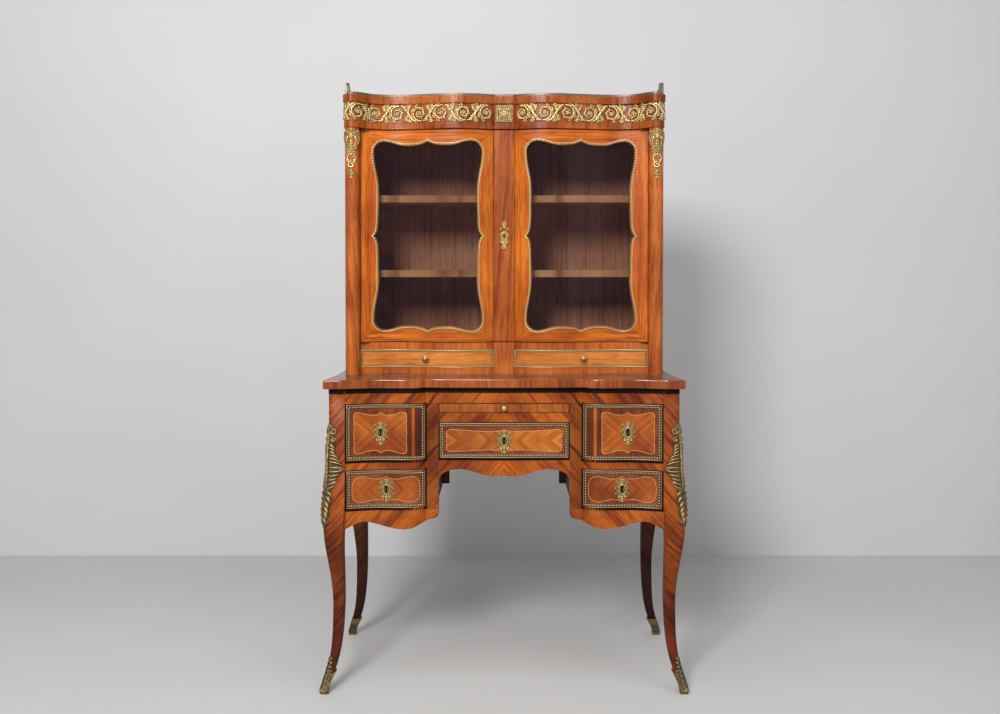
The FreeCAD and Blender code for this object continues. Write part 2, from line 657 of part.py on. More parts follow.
def make_desk_drawers(stocks):
    low_up = ("lower_drawer_low", "lower_drawer_high")
    high_up = ("upper_drawer_low", "top_rail_low")
    middle = "(stile_outer + leg_inner) / 2"
    for side, hand in ((-1, "left"), (1, "right")):
        across = mirrored(side, "stile_outer", "leg_inner")
        for level, up, where in (("upper", high_up, f"{middle} + plate_shift"), ("lower", low_up, middle)):
            plate_across = where if side > 0 else f"-({where})"
            make_desk_drawer(f"{level}_{hand}_drawer", across, up, plate_across, stocks)
    make_desk_drawer("centre_drawer", ("-kneehole_half", "kneehole_half"),
                     ("centre_drawer_low", "centre_drawer_high"), "0", stocks)


def make_slide(stocks):
    """Writing slide with its knob."""
    across = ("-kneehole_half + front_gap", "kneehole_half - front_gap")
    low = "slide_low + rest_gap"
    edge = block("slide_edge_box", across, ("-half_depth", "-front_rear"), (low, "top_rail_low - front_gap"))
    edge = combine("Part::Common", "slide_edge", stocks["solid"], edge)
    leaf = block("slide_leaf", across, ("-front_rear", "desk_back_inner - drawer_rear_gap"),
                 (low, f"{low} + slide_thickness"))
    node(fuse("slide_board", [edge, leaf]), "writing_slide")
    front = "carcass_depth - middle_depth"
    node(knob("slide_pull", "0", front, "(slide_low + top_rail_low) / 2", "slide_knob_radius",
              "slide_knob_reach", stocks["solid"]), "slide_knob")


# ---- cabinet ----

def both_sides(name, shape):
    """The same solid on the right and mirrored on the left."""
    return {1: feature(f"{name}_right", shape),
            -1: feature(f"{name}_left", shape.mirror(Vector(), Vector(1, 0, 0)))}


def make_cabinet_case(stocks):
    """Corner stiles, sides, back, boards and front rails."""
    radius = "(cabinet_half - corner_inner) / 2"
    centre = f"corner_inner + {radius}"
    upright = ("desk_height", "door_high")
    sides = []
    for side, hand in ((-1, "left"), (1, "right")):
        rear = block(f"corner_rear_{side}", mirrored(side, "corner_inner", "cabinet_half"),
                     ("-corner_centre_at", "-corner_back_at"), upright)
        where = centre if side > 0 else f"-({centre})"
        column = rod(f"corner_column_{side}", radius, "door_high - desk_height", Vector(0, 0, 1),
                     x=where, y="-corner_centre_at", z="desk_height")
        node(fuse(f"corner_{side}", [rear, column]), f"{hand}_corner_stile")
        sides.append(block(f"cabinet_side_{side}", mirrored(side, "cabinet_inner", "cabinet_half"),
                           ("-corner_back_at", "cabinet_back_at"), upright))
    node(group("cabinet_side_group", sides), "cabinet_sides")
    across = ("-cabinet_inner", "cabinet_inner")
    node(block("rear_board", across, ("cabinet_back_inner", "cabinet_back_at"), upright), "cabinet_back")

    inside = ("-cabinet_inner_at", "cabinet_back_inner")
    boards = [block("floor_board", across, inside, ("desk_height", "base_rail_high")),
              block("drawer_board", across, inside, ("small_drawer_high", "door_low - pivot_gap")),
              block("drawer_partition", ("-partition / 2", "partition / 2"), inside,
                    ("base_rail_high", "small_drawer_high"))]
    node(group("cabinet_board_group", boards), "cabinet_boards")
    shelves = []
    for name in ("lower_shelf", "upper_shelf"):
        shelves.append(block(f"{name}_board", across, ("-shelf_front_at", "cabinet_back_inner"),
                             (f"{name}_low", f"{name}_low + shelf_thickness")))
    node(group("shelf_group", shelves), "shelves")

    rails = [block("centre_block", ("-meeting_half", "meeting_half"),
                   ("-meeting_at - meeting_proud", "-cabinet_inner_at"),
                   ("desk_height", "door_low - pivot_gap"))]
    for side in (-1, 1):
        for name, up in (("base", ("desk_height", "base_rail_high")),
                         ("drawer", ("small_drawer_high", "door_low - pivot_gap"))):
            box = block(f"{name}_rail_box_{side}", mirrored(side, "meeting_half", "corner_inner"),
                        ("-half_depth", "-cabinet_inner_at"), up)
            rails.append(combine("Part::Common", f"{name}_rail_{side}", stocks["solid"][side], box))
    node(group("cabinet_rail_group", rails), "cabinet_rails")


def make_entablature():
    """Lower moulding, frieze, cornice and low gallery."""
    node(feature("moulding_slab", prism(cabinet_outline(size["moulding_proud"]), size["door_high"],
                                        size["moulding_high"])), "lower_moulding")
    block_out = feature("frieze_block", prism(cabinet_outline(0), size["moulding_high"], size["frieze_high"]))
    hollow = block("frieze_hollow", ("-cabinet_inner", "cabinet_inner"),
                   ("-cabinet_inner_at", "cabinet_back_inner"), ("moulding_high", "frieze_high"))
    node(combine("Part::Cut", "frieze_frame", block_out, hollow), "frieze")
    node(feature("cornice_slab", prism(cabinet_outline(size["cornice_proud"]), size["frieze_high"],
                                       size["cabinet_top"])), "cornice")

    rail_up = ("cabinet_top", "cabinet_top + gallery_back_height")
    pieces = [block("gallery_rear", ("-cabinet_half", "cabinet_half"),
                    ("cabinet_back_at - gallery_thickness", "cabinet_back_at"), rail_up)]
    for side in (-1, 1):
        across = mirrored(side, "cabinet_half - gallery_thickness", "cabinet_half")
        pieces.append(block(f"gallery_side_{side}", across, ("-corner_centre_at", "cabinet_back_at"), rail_up))
        pieces.append(rod(f"gallery_ear_{side}", "gallery_ear", "gallery_thickness", Vector(1, 0, 0),
                          x=across[0], y="-corner_centre_at + gallery_ear",
                          z="cabinet_top + gallery_height - gallery_ear"))
    floor = block("gallery_clip", ("-cabinet_half", "cabinet_half"), ("-corner_centre_at", "cabinet_back_at"),
                  ("cabinet_top", "cabinet_top + gallery_height"))
    node(combine("Part::Common", "gallery_rail", fuse("gallery_blank", pieces), floor), "gallery")


def make_cabinet_mounts():
    """Frieze bands, centre plaque and corner mounts."""
    skin = prism(cabinet_outline(size["trim_proud"]), size["moulding_high"], size["frieze_high"])
    skin = skin.cut(prism(cabinet_outline(0), size["moulding_high"], size["frieze_high"]))
    skin = feature("frieze_skin", skin)
    inset = "trim_width / 2"
    up = (f"moulding_high + {inset}", f"frieze_high - {inset}")
    front = ("-half_depth", "-corner_back_at")
    bands = []
    for side in (-1, 1):
        box = block(f"frieze_box_{side}", mirrored(side, f"meeting_half + {inset}",
                    "cabinet_half + 2 * trim_proud"), front, up)
        bands.append(combine("Part::Common", f"frieze_band_{side}", skin, box))
    box = block("plaque_box", (f"-meeting_half + {inset} / 2", f"meeting_half - {inset} / 2"), front, up)
    bands.append(combine("Part::Common", "plaque", skin, box))
    node(group("frieze_group", bands), "frieze_mounts")

    radius = (size["cabinet_half"] - size["corner_inner"]) / 2
    high = size["door_high"]
    low = high - size["corner_mount_height"]
    foot = size["corner_mount_foot"]
    mounts = []
    for side in (-1, 1):
        centre = side * (size["corner_inner"] + radius)
        axis = Vector(centre, -size["corner_centre_at"], low)
        reach = radius + size["corner_mount_proud"]
        shell = Part.makeCylinder(reach, high - low, axis).cut(Part.makeCylinder(radius, high - low, axis))
        taper = line(Vector(centre - foot, 0, low), Vector(centre + foot, 0, low),
                     Vector(centre + radius - 1, 0, high - reach * 2), Vector(centre + radius - 1, 0, high),
                     Vector(centre - radius + 1, 0, high), Vector(centre - radius + 1, 0, high - reach * 2),
                     Vector(centre - foot, 0, low))
        wedge = Part.Face(Part.Wire(taper)).extrude(Vector(0, -radius * 2, 0))
        wedge.translate(Vector(0, -size["corner_centre_at"], 0))
        mounts.append(feature(f"corner_mount_{side}", shell.common(wedge)))
    node(group("corner_mount_group", mounts), "corner_mounts")


# ---- doors ----

def pane_wire(grow):
    """Cartouche outline of the right door's opening, in the plane y = 0; grow makes it larger.

    One quarter of it is drawn round its middle and mirrored. The points lie at shares of the half width and
    half height, and at shares of how far the edge dips, narrows at the waist or rounds off at the corner.
    """
    inner, outer = size["pane_inner"] - grow, size["pane_outer"] + grow
    low, high = size["pane_low"] - grow, size["pane_high"] + grow
    middle_x, middle_z = (inner + outer) / 2, (low + high) / 2
    half_width, half_height = (outer - inner) / 2, (high - low) / 2
    corner, dip, waist = size["pane_corner"], size["pane_dip"], size["pane_waist"]
    top = spline([Vector(0, 0, half_height), Vector(half_width * 0.3, 0, half_height - dip * 0.95),
                  Vector(half_width * 0.5, 0, half_height - dip * 0.9),
                  Vector(half_width - corner, 0, half_height)],
                 Vector(1, 0, -0.9), Vector(1, 0, 0.05))
    bend = Part.Arc(Vector(half_width - corner, 0, half_height),
                    Vector(half_width - corner * 0.3, 0, half_height - corner * 0.32),
                    Vector(half_width, 0, half_height - corner)).toShape()
    flank = spline([Vector(half_width, 0, half_height - corner),
                    Vector(half_width - waist * 0.9, 0, half_height * 0.6),
                    Vector(half_width - waist, 0, half_height * 0.22), Vector(half_width, 0, 0)],
                   Vector(0.02, 0, -1), Vector(1, 0, -0.8))
    quarter = [top, bend, flank]
    edges = []
    for mirror_x in (False, True):
        for mirror_z in (False, True):
            for edge in quarter:
                if mirror_x:
                    edge = edge.mirror(Vector(), Vector(1, 0, 0))
                if mirror_z:
                    edge = edge.mirror(Vector(), Vector(0, 0, 1))
                edges.append(edge)
    wire = Part.Wire(Part.__sortEdges__(edges))
    wire.translate(Vector(middle_x, 0, middle_z))
    return wire


def pane_solid(grow):
    """The cartouche as a block that runs through the door."""
    solid = Part.Face(pane_wire(grow)).extrude(Vector(0, -size["half_depth"], 0))
    return solid


def make_doors(stocks):
    """Frame, glass and brass of both doors; the right one carries the meeting stile."""
    opening = both_sides("pane_opening", pane_solid(0))
    rebate = both_sides("pane_rebate", pane_solid(size["pane_trim"]))
    up = ("door_low + door_gap + pivot_leaf", "door_high - door_gap - pivot_leaf")
    for side, hand in ((-1, "left"), (1, "right")):
        meeting = "meeting_half" if side > 0 else "meeting_half + meeting_gap"
        box = block(f"{hand}_door_box", mirrored(side, meeting, "corner_inner - door_gap"),
                    ("-half_depth", "0"), up)
        slab = combine("Part::Common", f"{hand}_door_slab", stocks["shell"][side], box)
        frame = combine("Part::Cut", f"{hand}_door_open", slab, opening[side])
        node(combine("Part::Cut", f"{hand}_door_rebated", frame,
                     combine("Part::Common", f"{hand}_glass_seat", stocks["glass"][side], rebate[side])),
             f"{hand}_door_frame")
        node(combine("Part::Common", f"{hand}_pane", stocks["glass"][side], rebate[side]), f"{hand}_door_glass")
        ring = combine("Part::Cut", f"{hand}_ring", rebate[side], opening[side])
        pieces = [combine("Part::Common", f"{hand}_pane_trim", stocks["trim"][side], ring)]
        pieces += door_leaves(side, hand, up)
        if side > 0:
            node(block("meeting_box", ("-meeting_half", "meeting_half"),
                       ("-meeting_at - meeting_proud", "door_thickness - meeting_at"), up), "meeting_stile")
            pieces.append(door_plate())
        node(group(f"{hand}_door_mount_group", pieces), f"{hand}_door_mounts")


def door_plate():
    """Escutcheon on the meeting stile."""
    reach = "meeting_at + meeting_proud"
    skin = block("door_plate_skin", ("-meeting_half", "meeting_half"),
                 (f"-({reach}) - plate_proud", f"-({reach})"), ("door_low", "door_high"))
    middle = "(door_low + door_high) / 2 + door_plate_shift"
    hole = keyhole("door", "0", f"{middle} - key_slot", reach)
    return plate("door", skin, "0", middle, "door_plate_half_width", "door_plate_half_height", hole)


def door_leaves(side, hand, up):
    """Pivot leaves under and over a door, each with a bore for its pin."""
    centre = "pivot_across" if side > 0 else "-pivot_across"
    leaves = []
    for end, low, high in (("foot", f"{up[0]} - pivot_leaf", up[0]), ("head", up[1], f"{up[1]} + pivot_leaf")):
        name = f"{hand}_{end}"
        strip = block(f"{name}_strip", mirrored(side, "pivot_across - pivot_leaf_length",
                      "pivot_across + knuckle_radius / 2"),
                      ("-pivot_at", "-pivot_at + pivot_leaf_depth"), (low, high))
        eye = rod(f"{name}_eye", "knuckle_radius", "pivot_leaf", Vector(0, 0, 1),
                  x=centre, y="-pivot_at", z=low)
        bore = rod(f"{name}_bore", "pivot_radius + pivot_clearance", "pivot_leaf", Vector(0, 0, 1),
                   x=centre, y="-pivot_at", z=low)
        leaves.append(combine("Part::Cut", f"{name}_leaf", fuse(f"{name}_blank", [strip, eye]), bore))
    return leaves


def make_pivots():
    """Fixed pins with their plates, on the rail below each door and the moulding above it."""
    fixed = []
    for side, hand in ((-1, "left"), (1, "right")):
        centre = "pivot_across" if side > 0 else "-pivot_across"
        across = mirrored(side, "pivot_across - knuckle_radius", "pivot_across + knuckle_radius")
        along = ("-pivot_at - knuckle_radius", "-pivot_at + pivot_leaf_depth")
        thick = "(door_gap - pivot_gap)"
        for end, plate_low, pin_low in (("foot", "door_low - pivot_gap", "door_low - pivot_gap"),
                                        ("head", f"door_high - {thick}", "door_high - door_gap - pivot_leaf")):
            base = block(f"{hand}_{end}_base", across, along, (plate_low, f"{plate_low} + {thick}"))
            pin = rod(f"{hand}_{end}_pin", "pivot_radius", "door_gap + pivot_leaf", Vector(0, 0, 1),
                      x=centre, y="-pivot_at", z=pin_low)
            fixed.append(fuse(f"{hand}_{end}_pivot", [base, pin]))
    node(group("pivot_group", fixed), "door_pivots")


def make_small_drawers(stocks):
    for side, hand in ((-1, "left"), (1, "right")):
        name = f"{hand}_small_drawer"
        across = mirrored(side, "meeting_half + front_gap", "corner_inner - front_gap")
        up = ("base_rail_high + rest_gap", "small_drawer_high - front_gap")
        panel = block(f"{name}_panel", across, ("-half_depth", "-cabinet_inner_at"), up)
        node(combine("Part::Common", f"{name}_board", stocks["solid"][side], panel), f"{name}_front")
        tray(name, mirrored(side, "meeting_half + drawer_side_gap * 2", "corner_inner - drawer_side_gap * 2"),
             ("-cabinet_inner_at", "cabinet_back_inner - small_drawer_rear_gap"),
             (up[0], "small_drawer_high - drawer_side_gap * 2"),
             "small_wall", "small_bottom")
        frame = trim(name, stocks["trim"][side], across, up, "small_trim_width")
        where = "(meeting_half + corner_inner) / 2 + knob_shift"
        where = where if side > 0 else f"-({where})"
        pull = knob(f"{name}_knob", where, "(belly_at + waist_at) / 2",
                    "(base_rail_high + small_drawer_high) / 2", "knob_radius", "knob_reach",
                    stocks["solid"][side])
        node(group(f"{name}_mount_group", [frame, pull]), f"{name}_mounts")


# ---- build ----

overhang = size["top_overhang"]
desk_stocks = {
    "solid": feature("desk_front_stock", desk_stock(overhang, None)),
    "trim": feature("desk_trim_stock", desk_stock(overhang - size["trim_proud"], size["trim_proud"])),
    "plate": feature("desk_plate_stock", desk_stock(overhang - size["plate_proud"], size["plate_proud"])),
}
cabinet_stocks = {
    "solid": both_sides("cabinet_front_stock", cabinet_stock(0, None)),
    "shell": both_sides("door_stock", cabinet_stock(0, size["door_thickness"])),
    "glass": both_sides("glass_stock", cabinet_stock(-size["glass_setback"], size["glass_thickness"])),
    "trim": both_sides("door_trim_stock", cabinet_stock(size["door_trim_proud"], size["door_trim_proud"])),
}

make_desk_top()
leg_nodes = make_legs()
make_sabots(leg_nodes)
make_knee_mounts(leg_nodes)
make_front_frame(desk_stocks["solid"], leg_nodes)
make_desk_sides(leg_nodes)
make_desk_boards()
make_desk_drawers(desk_stocks)
make_slide(desk_stocks)
make_cabinet_case(cabinet_stocks)
make_entablature()
make_cabinet_mounts()
make_doors(cabinet_stocks)
make_pivots()
make_small_drawers(cabinet_stocks)
document.recompute()

faults = [item.Name for item in document.Objects if {"Invalid", "Error"} & set(item.State)]
faults += [item.Label for item in nodes
           if item.Shape.isNull() or not item.Shape.isValid() or not item.Shape.Solids]
if faults:
    raise RuntimeError(f"failed objects: {faults}")
os.makedirs("parts", exist_ok=True)
for item in nodes:
    item.Shape.exportStep(f"parts/{item.Label}.step")
    print(item.Label, len(item.Shape.Solids), "solids", round(item.Shape.Volume / 1000), "cm3")
print(len(nodes), "sub-parts")
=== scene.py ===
import json
import math

import bmesh
import bpy
import numpy as np
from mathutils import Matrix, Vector
from mathutils.bvhtree import BVHTree

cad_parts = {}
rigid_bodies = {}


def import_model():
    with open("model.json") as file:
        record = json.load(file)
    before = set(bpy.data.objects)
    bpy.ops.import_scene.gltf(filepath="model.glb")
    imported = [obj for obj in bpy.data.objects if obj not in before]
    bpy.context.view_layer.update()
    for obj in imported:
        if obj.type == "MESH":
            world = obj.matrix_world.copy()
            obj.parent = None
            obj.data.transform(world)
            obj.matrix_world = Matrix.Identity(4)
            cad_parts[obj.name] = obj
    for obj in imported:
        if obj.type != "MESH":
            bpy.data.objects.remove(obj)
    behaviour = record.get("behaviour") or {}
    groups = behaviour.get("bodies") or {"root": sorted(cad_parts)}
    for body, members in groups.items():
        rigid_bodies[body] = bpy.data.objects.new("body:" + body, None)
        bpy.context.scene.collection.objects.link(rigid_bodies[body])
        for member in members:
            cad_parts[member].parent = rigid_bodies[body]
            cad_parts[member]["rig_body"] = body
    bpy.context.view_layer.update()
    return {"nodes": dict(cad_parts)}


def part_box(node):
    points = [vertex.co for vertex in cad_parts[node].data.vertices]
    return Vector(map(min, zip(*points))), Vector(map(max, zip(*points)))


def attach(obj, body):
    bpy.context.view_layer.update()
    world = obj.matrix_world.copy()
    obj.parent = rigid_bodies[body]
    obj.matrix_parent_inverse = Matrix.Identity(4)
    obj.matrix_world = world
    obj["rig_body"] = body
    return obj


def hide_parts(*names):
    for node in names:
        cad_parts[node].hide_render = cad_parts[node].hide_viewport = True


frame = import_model()
nodes = frame["nodes"]
mm = 0.001
hands = ((-1, "left"), (1, "right"))
legs = [(end, sign, hand) for end in ("front", "back") for sign, hand in hands]


def toLinear(code):
    values = [int(code[i:i + 2], 16) / 255 for i in (1, 3, 5)]
    return tuple(v / 12.92 if v <= 0.04045 else ((v + 0.055) / 1.055) ** 2.4 for v in values) + (1.0,)


def fill(node, links):
    # links or fills a node's inputs
    for socket, source in links.items():
        if isinstance(source, bpy.types.NodeSocket):
            node.id_data.links.new(source, node.inputs[socket])
        else:
            node.inputs[socket].default_value = source


def addNode(tree, kind, links=None, output=0, stops=(), **settings):
    # adds a node, sets it, links or fills its inputs and hands back one of its outputs
    node = tree.nodes.new(kind)
    for name, value in settings.items():
        setattr(node, name, value)
    fill(node, links or {})
    for index, (position, code) in enumerate(stops):
        elements = node.color_ramp.elements
        element = elements[index] if index < len(elements) else elements.new(position)
        element.position, element.color = position, toLinear(code)
    return node.outputs[output] if node.outputs else node


# settings of the mixes that lay one colour over another, or darken it by another
layered = {"output": "Result", "data_type": "RGBA"}
multiplied = dict(layered, blend_type="MULTIPLY")


def newMaterial(name):
    material = bpy.data.materials.new(name)
    material.use_nodes = True
    tree = material.node_tree
    tree.nodes.clear()
    surfaceOut = addNode(tree, "ShaderNodeBsdfPrincipled")
    addNode(tree, "ShaderNodeOutputMaterial", {"Surface": surfaceOut})
    return material, tree, surfaceOut.node, addNode(tree, "ShaderNodeTexCoord", output="Object")


# the three layers of a figure: share of the band's length and width, detail, distortion
figureLayers = ((1, 1, 2, 0.7), (0.45, 0.26, 4, 0.35), (0.09, 0.06, 2, 0))
figureLook = {"fibres": 0.4, "stops": (0.30, 0.43, 0.55, 0.66), "pores": 0.75, "poreTone": "#A8917F"}


def grain(tree, where, angle, look):
    # broad bands along the grain, fibres between them and pores; gives colour and height
    layers = []
    for long, wide, detail, warp in figureLayers:
        size = (look["bandLength"] * long * mm, look["bandWidth"] * wide * mm, 1)
        sized = addNode(tree, "ShaderNodeMapping", {
            "Vector": where, "Rotation": (0, 0, math.radians(angle)), "Scale": size}, vector_type="TEXTURE")
        layers.append(addNode(tree, "ShaderNodeTexNoise", {
            "Vector": sized, "Scale": 1.0, "Detail": detail, "Distortion": warp}))
    bands, fibres, pores = layers
    figure = addNode(tree, "ShaderNodeMix", {"Factor": figureLook["fibres"], "A": bands, "B": fibres},
                     output="Result")
    dark, mid, light = look["tones"]
    wood = addNode(tree, "ShaderNodeValToRGB", {"Fac": figure},
                   stops=zip(figureLook["stops"], (dark, mid, light, mid)))
    pores = addNode(tree, "ShaderNodeValToRGB", {"Fac": pores},
                    stops=((0.36, figureLook["poreTone"]), (0.5, "#FFFFFF")))
    colour = addNode(tree, "ShaderNodeMix", {"Factor": figureLook["pores"], "A": wood, "B": pores},
                     **multiplied)
    return colour, figure


def fold(tree, value, centres):
    # mirrors the figure about each centre in turn
    for centre in centres:
        shifted = addNode(tree, "ShaderNodeMath", {0: value, 1: centre * mm}, operation="SUBTRACT")
        value = addNode(tree, "ShaderNodeMath", {0: shifted}, operation="ABSOLUTE")
    return value


axesOf = {"front": "XZ", "side": "YZ", "top": "XY", "round": "XZ", "field": "XY"}
jointLine = {"width": 1.6, "colour": "#5A2A10", "share": 0.5}
# patches, wear, grime, ripple and fleck are noise scales, in cells per metre; depths are in mm
polishLook = {"patches": 8.0, "patchShare": 0.85, "wear": 22.0, "relief": 0.12, "depth": 0.6,
              "coatRoughness": 0.18}


def veneer(name, look):
    # sawn veneer under French polish: a soft gloss that lifts the figure, duller where it has worn
    material, tree, shader, place = newMaterial(name)
    where = addNode(tree, "ShaderNodeTexCoord", output="UV") if look["plane"] == "field" else place
    axes = addNode(tree, "ShaderNodeSeparateXYZ", {"Vector": where}).node.outputs
    across, up = [axes[axis] for axis in axesOf[look["plane"]]]
    if look["plane"] == "round":  # a leg shows the same slant on both of its outer faces
        faces = [addNode(tree, "ShaderNodeMath", {0: axes[axis]}, operation="ABSOLUTE") for axis in "XY"]
        across = addNode(tree, "ShaderNodeMath", dict(enumerate(faces)), operation="ADD")
    across, up = fold(tree, across, look.get("foldAcross", ())), fold(tree, up, look.get("foldUp", ()))
    matched = addNode(tree, "ShaderNodeCombineXYZ", {"X": across, "Y": up})
    colour, figure = grain(tree, matched, look["angle"], look)
    if "mitre" in look:  # rails run across, stiles run up, and both meet on the mitre
        middle, halves = [[value * mm for value in pair] + [0] for pair in look["mitre"]]
        folded = addNode(tree, "ShaderNodeVectorMath", {0: matched, 1: middle}, operation="SUBTRACT")
        folded = addNode(tree, "ShaderNodeVectorMath", {0: folded}, operation="ABSOLUTE")
        inset = addNode(tree, "ShaderNodeVectorMath", {0: halves, 1: folded}, operation="SUBTRACT")
        inset = addNode(tree, "ShaderNodeSeparateXYZ", {"Vector": inset}).node.outputs
        isRail = addNode(tree, "ShaderNodeMath", {0: inset["Y"], 1: inset["X"]}, operation="LESS_THAN")
        rails = grain(tree, matched, 0, look)[0]
        colour = addNode(tree, "ShaderNodeMix", {"Factor": isRail, "A": colour, "B": rails}, **layered)
        joint = addNode(tree, "ShaderNodeMath", {
            0: inset["X"], 1: inset["Y"], 2: jointLine["width"] / 2 * mm}, operation="COMPARE")
        joint = addNode(tree, "ShaderNodeMath", {0: joint, 1: jointLine["share"]}, operation="MULTIPLY")
        colour = addNode(tree, "ShaderNodeMix", {
            "Factor": joint, "A": colour, "B": toLinear(jointLine["colour"])}, **layered)
    for centre, width, code, share in look.get("strips", ()):  # upright strips: lines and bands of other veneer, and on the upper drawers a painted highlight and painted shade
        within = addNode(tree, "ShaderNodeMath", {0: across, 1: centre * mm, 2: width / 2 * mm},
                         operation="COMPARE")
        within = addNode(tree, "ShaderNodeMath", {0: within, 1: share}, operation="MULTIPLY")
        colour = addNode(tree, "ShaderNodeMix", {"Factor": within, "A": colour, "B": toLinear(code)},
                         **layered)
    if "edge" in look:  # the edge of a top is banded with short upright grain
        normal = addNode(tree, "ShaderNodeTexCoord", output="Normal")
        facing = addNode(tree, "ShaderNodeSeparateXYZ", {"Vector": normal}, output="Z")
        upright = addNode(tree, "ShaderNodeMath", {0: facing, 1: 0.75}, operation="LESS_THAN")
        around = addNode(tree, "ShaderNodeMath", {0: axes["X"], 1: axes["Y"]}, operation="ADD")
        banding = addNode(tree, "ShaderNodeCombineXYZ", {"X": axes["Z"], "Y": around})
        edge = grain(tree, banding, 0, look["edge"])[0]
        colour = addNode(tree, "ShaderNodeMix", {"Factor": upright, "A": colour, "B": edge}, **layered)
    if "fade" in look:  # the wood is darker towards the floor
        low, high, code = look["fade"]
        height = addNode(tree, "ShaderNodeMapRange", {
            "Value": axes["Z"], "From Min": low * mm, "From Max": high * mm})
        darkerLow = addNode(tree, "ShaderNodeValToRGB", {"Fac": height}, stops=((0, code), (1, "#FFFFFF")))
        colour = addNode(tree, "ShaderNodeMix", {"Factor": 1.0, "A": colour, "B": darkerLow}, **multiplied)
    patches = addNode(tree, "ShaderNodeTexNoise", {
        "Vector": place, "Scale": polishLook["patches"], "Detail": 2.0})
    tone = addNode(tree, "ShaderNodeValToRGB", {"Fac": patches},
                   stops=((0.36, look["shade"]), (0.6, "#FFFFFF")))
    wear = addNode(tree, "ShaderNodeTexNoise", {"Vector": place, "Scale": polishLook["wear"], "Detail": 4.0})
    glossy, dull = look["gloss"]
    fill(shader, {
        "Base Color": addNode(tree, "ShaderNodeMix", {
            "Factor": polishLook["patchShare"], "A": colour, "B": tone}, **multiplied),
        "Roughness": addNode(tree, "ShaderNodeMapRange", {"Value": wear, "To Min": glossy, "To Max": dull}),
        "Normal": addNode(tree, "ShaderNodeBump", {
            "Height": figure, "Strength": polishLook["relief"], "Distance": polishLook["depth"] * mm}),
        "Specular IOR Level": look["sheen"], "Coat Weight": look["polish"],
        "Coat Roughness": polishLook["coatRoughness"]})
    return material


# kingwood: dark violet-brown streaks in orange-brown; tulipwood: paler and straighter, with a salmon cast
kingwood = {"tones": ("#4C1A04", "#8E3E0C", "#BA6016"), "bandLength": 260, "bandWidth": 20, "plane": "front",
            "angle": 90, "shade": "#B0917F", "gloss": (0.3, 0.48), "sheen": 0.2, "polish": 0.06}
tulipwood = dict(kingwood, tones=("#8A3606", "#B25412", "#CE7420"), bandLength=480, bandWidth=24,
                 shade="#CDB8AC")
radiating = dict(kingwood, tones=("#682C08", "#A05018", "#C06A24"), bandLength=240, bandWidth=9,
                 plane="field", foldAcross=[0], foldUp=[0], angle=41)
crossband = dict(kingwood, tones=("#461C0A", "#6E3214", "#8A451E"), bandLength=60, bandWidth=9)
unpolished = dict(kingwood, tones=("#86583C", "#AE785A", "#C48C6C"), bandLength=600, bandWidth=9,
                  shade="#DCCBBE", gloss=(0.5, 0.65), polish=0.0)
chevrons = dict(kingwood, foldAcross=[0], angle=-50)
wrapped = dict(kingwood, plane="round", angle=-48, gloss=(0.42, 0.58), polish=0)
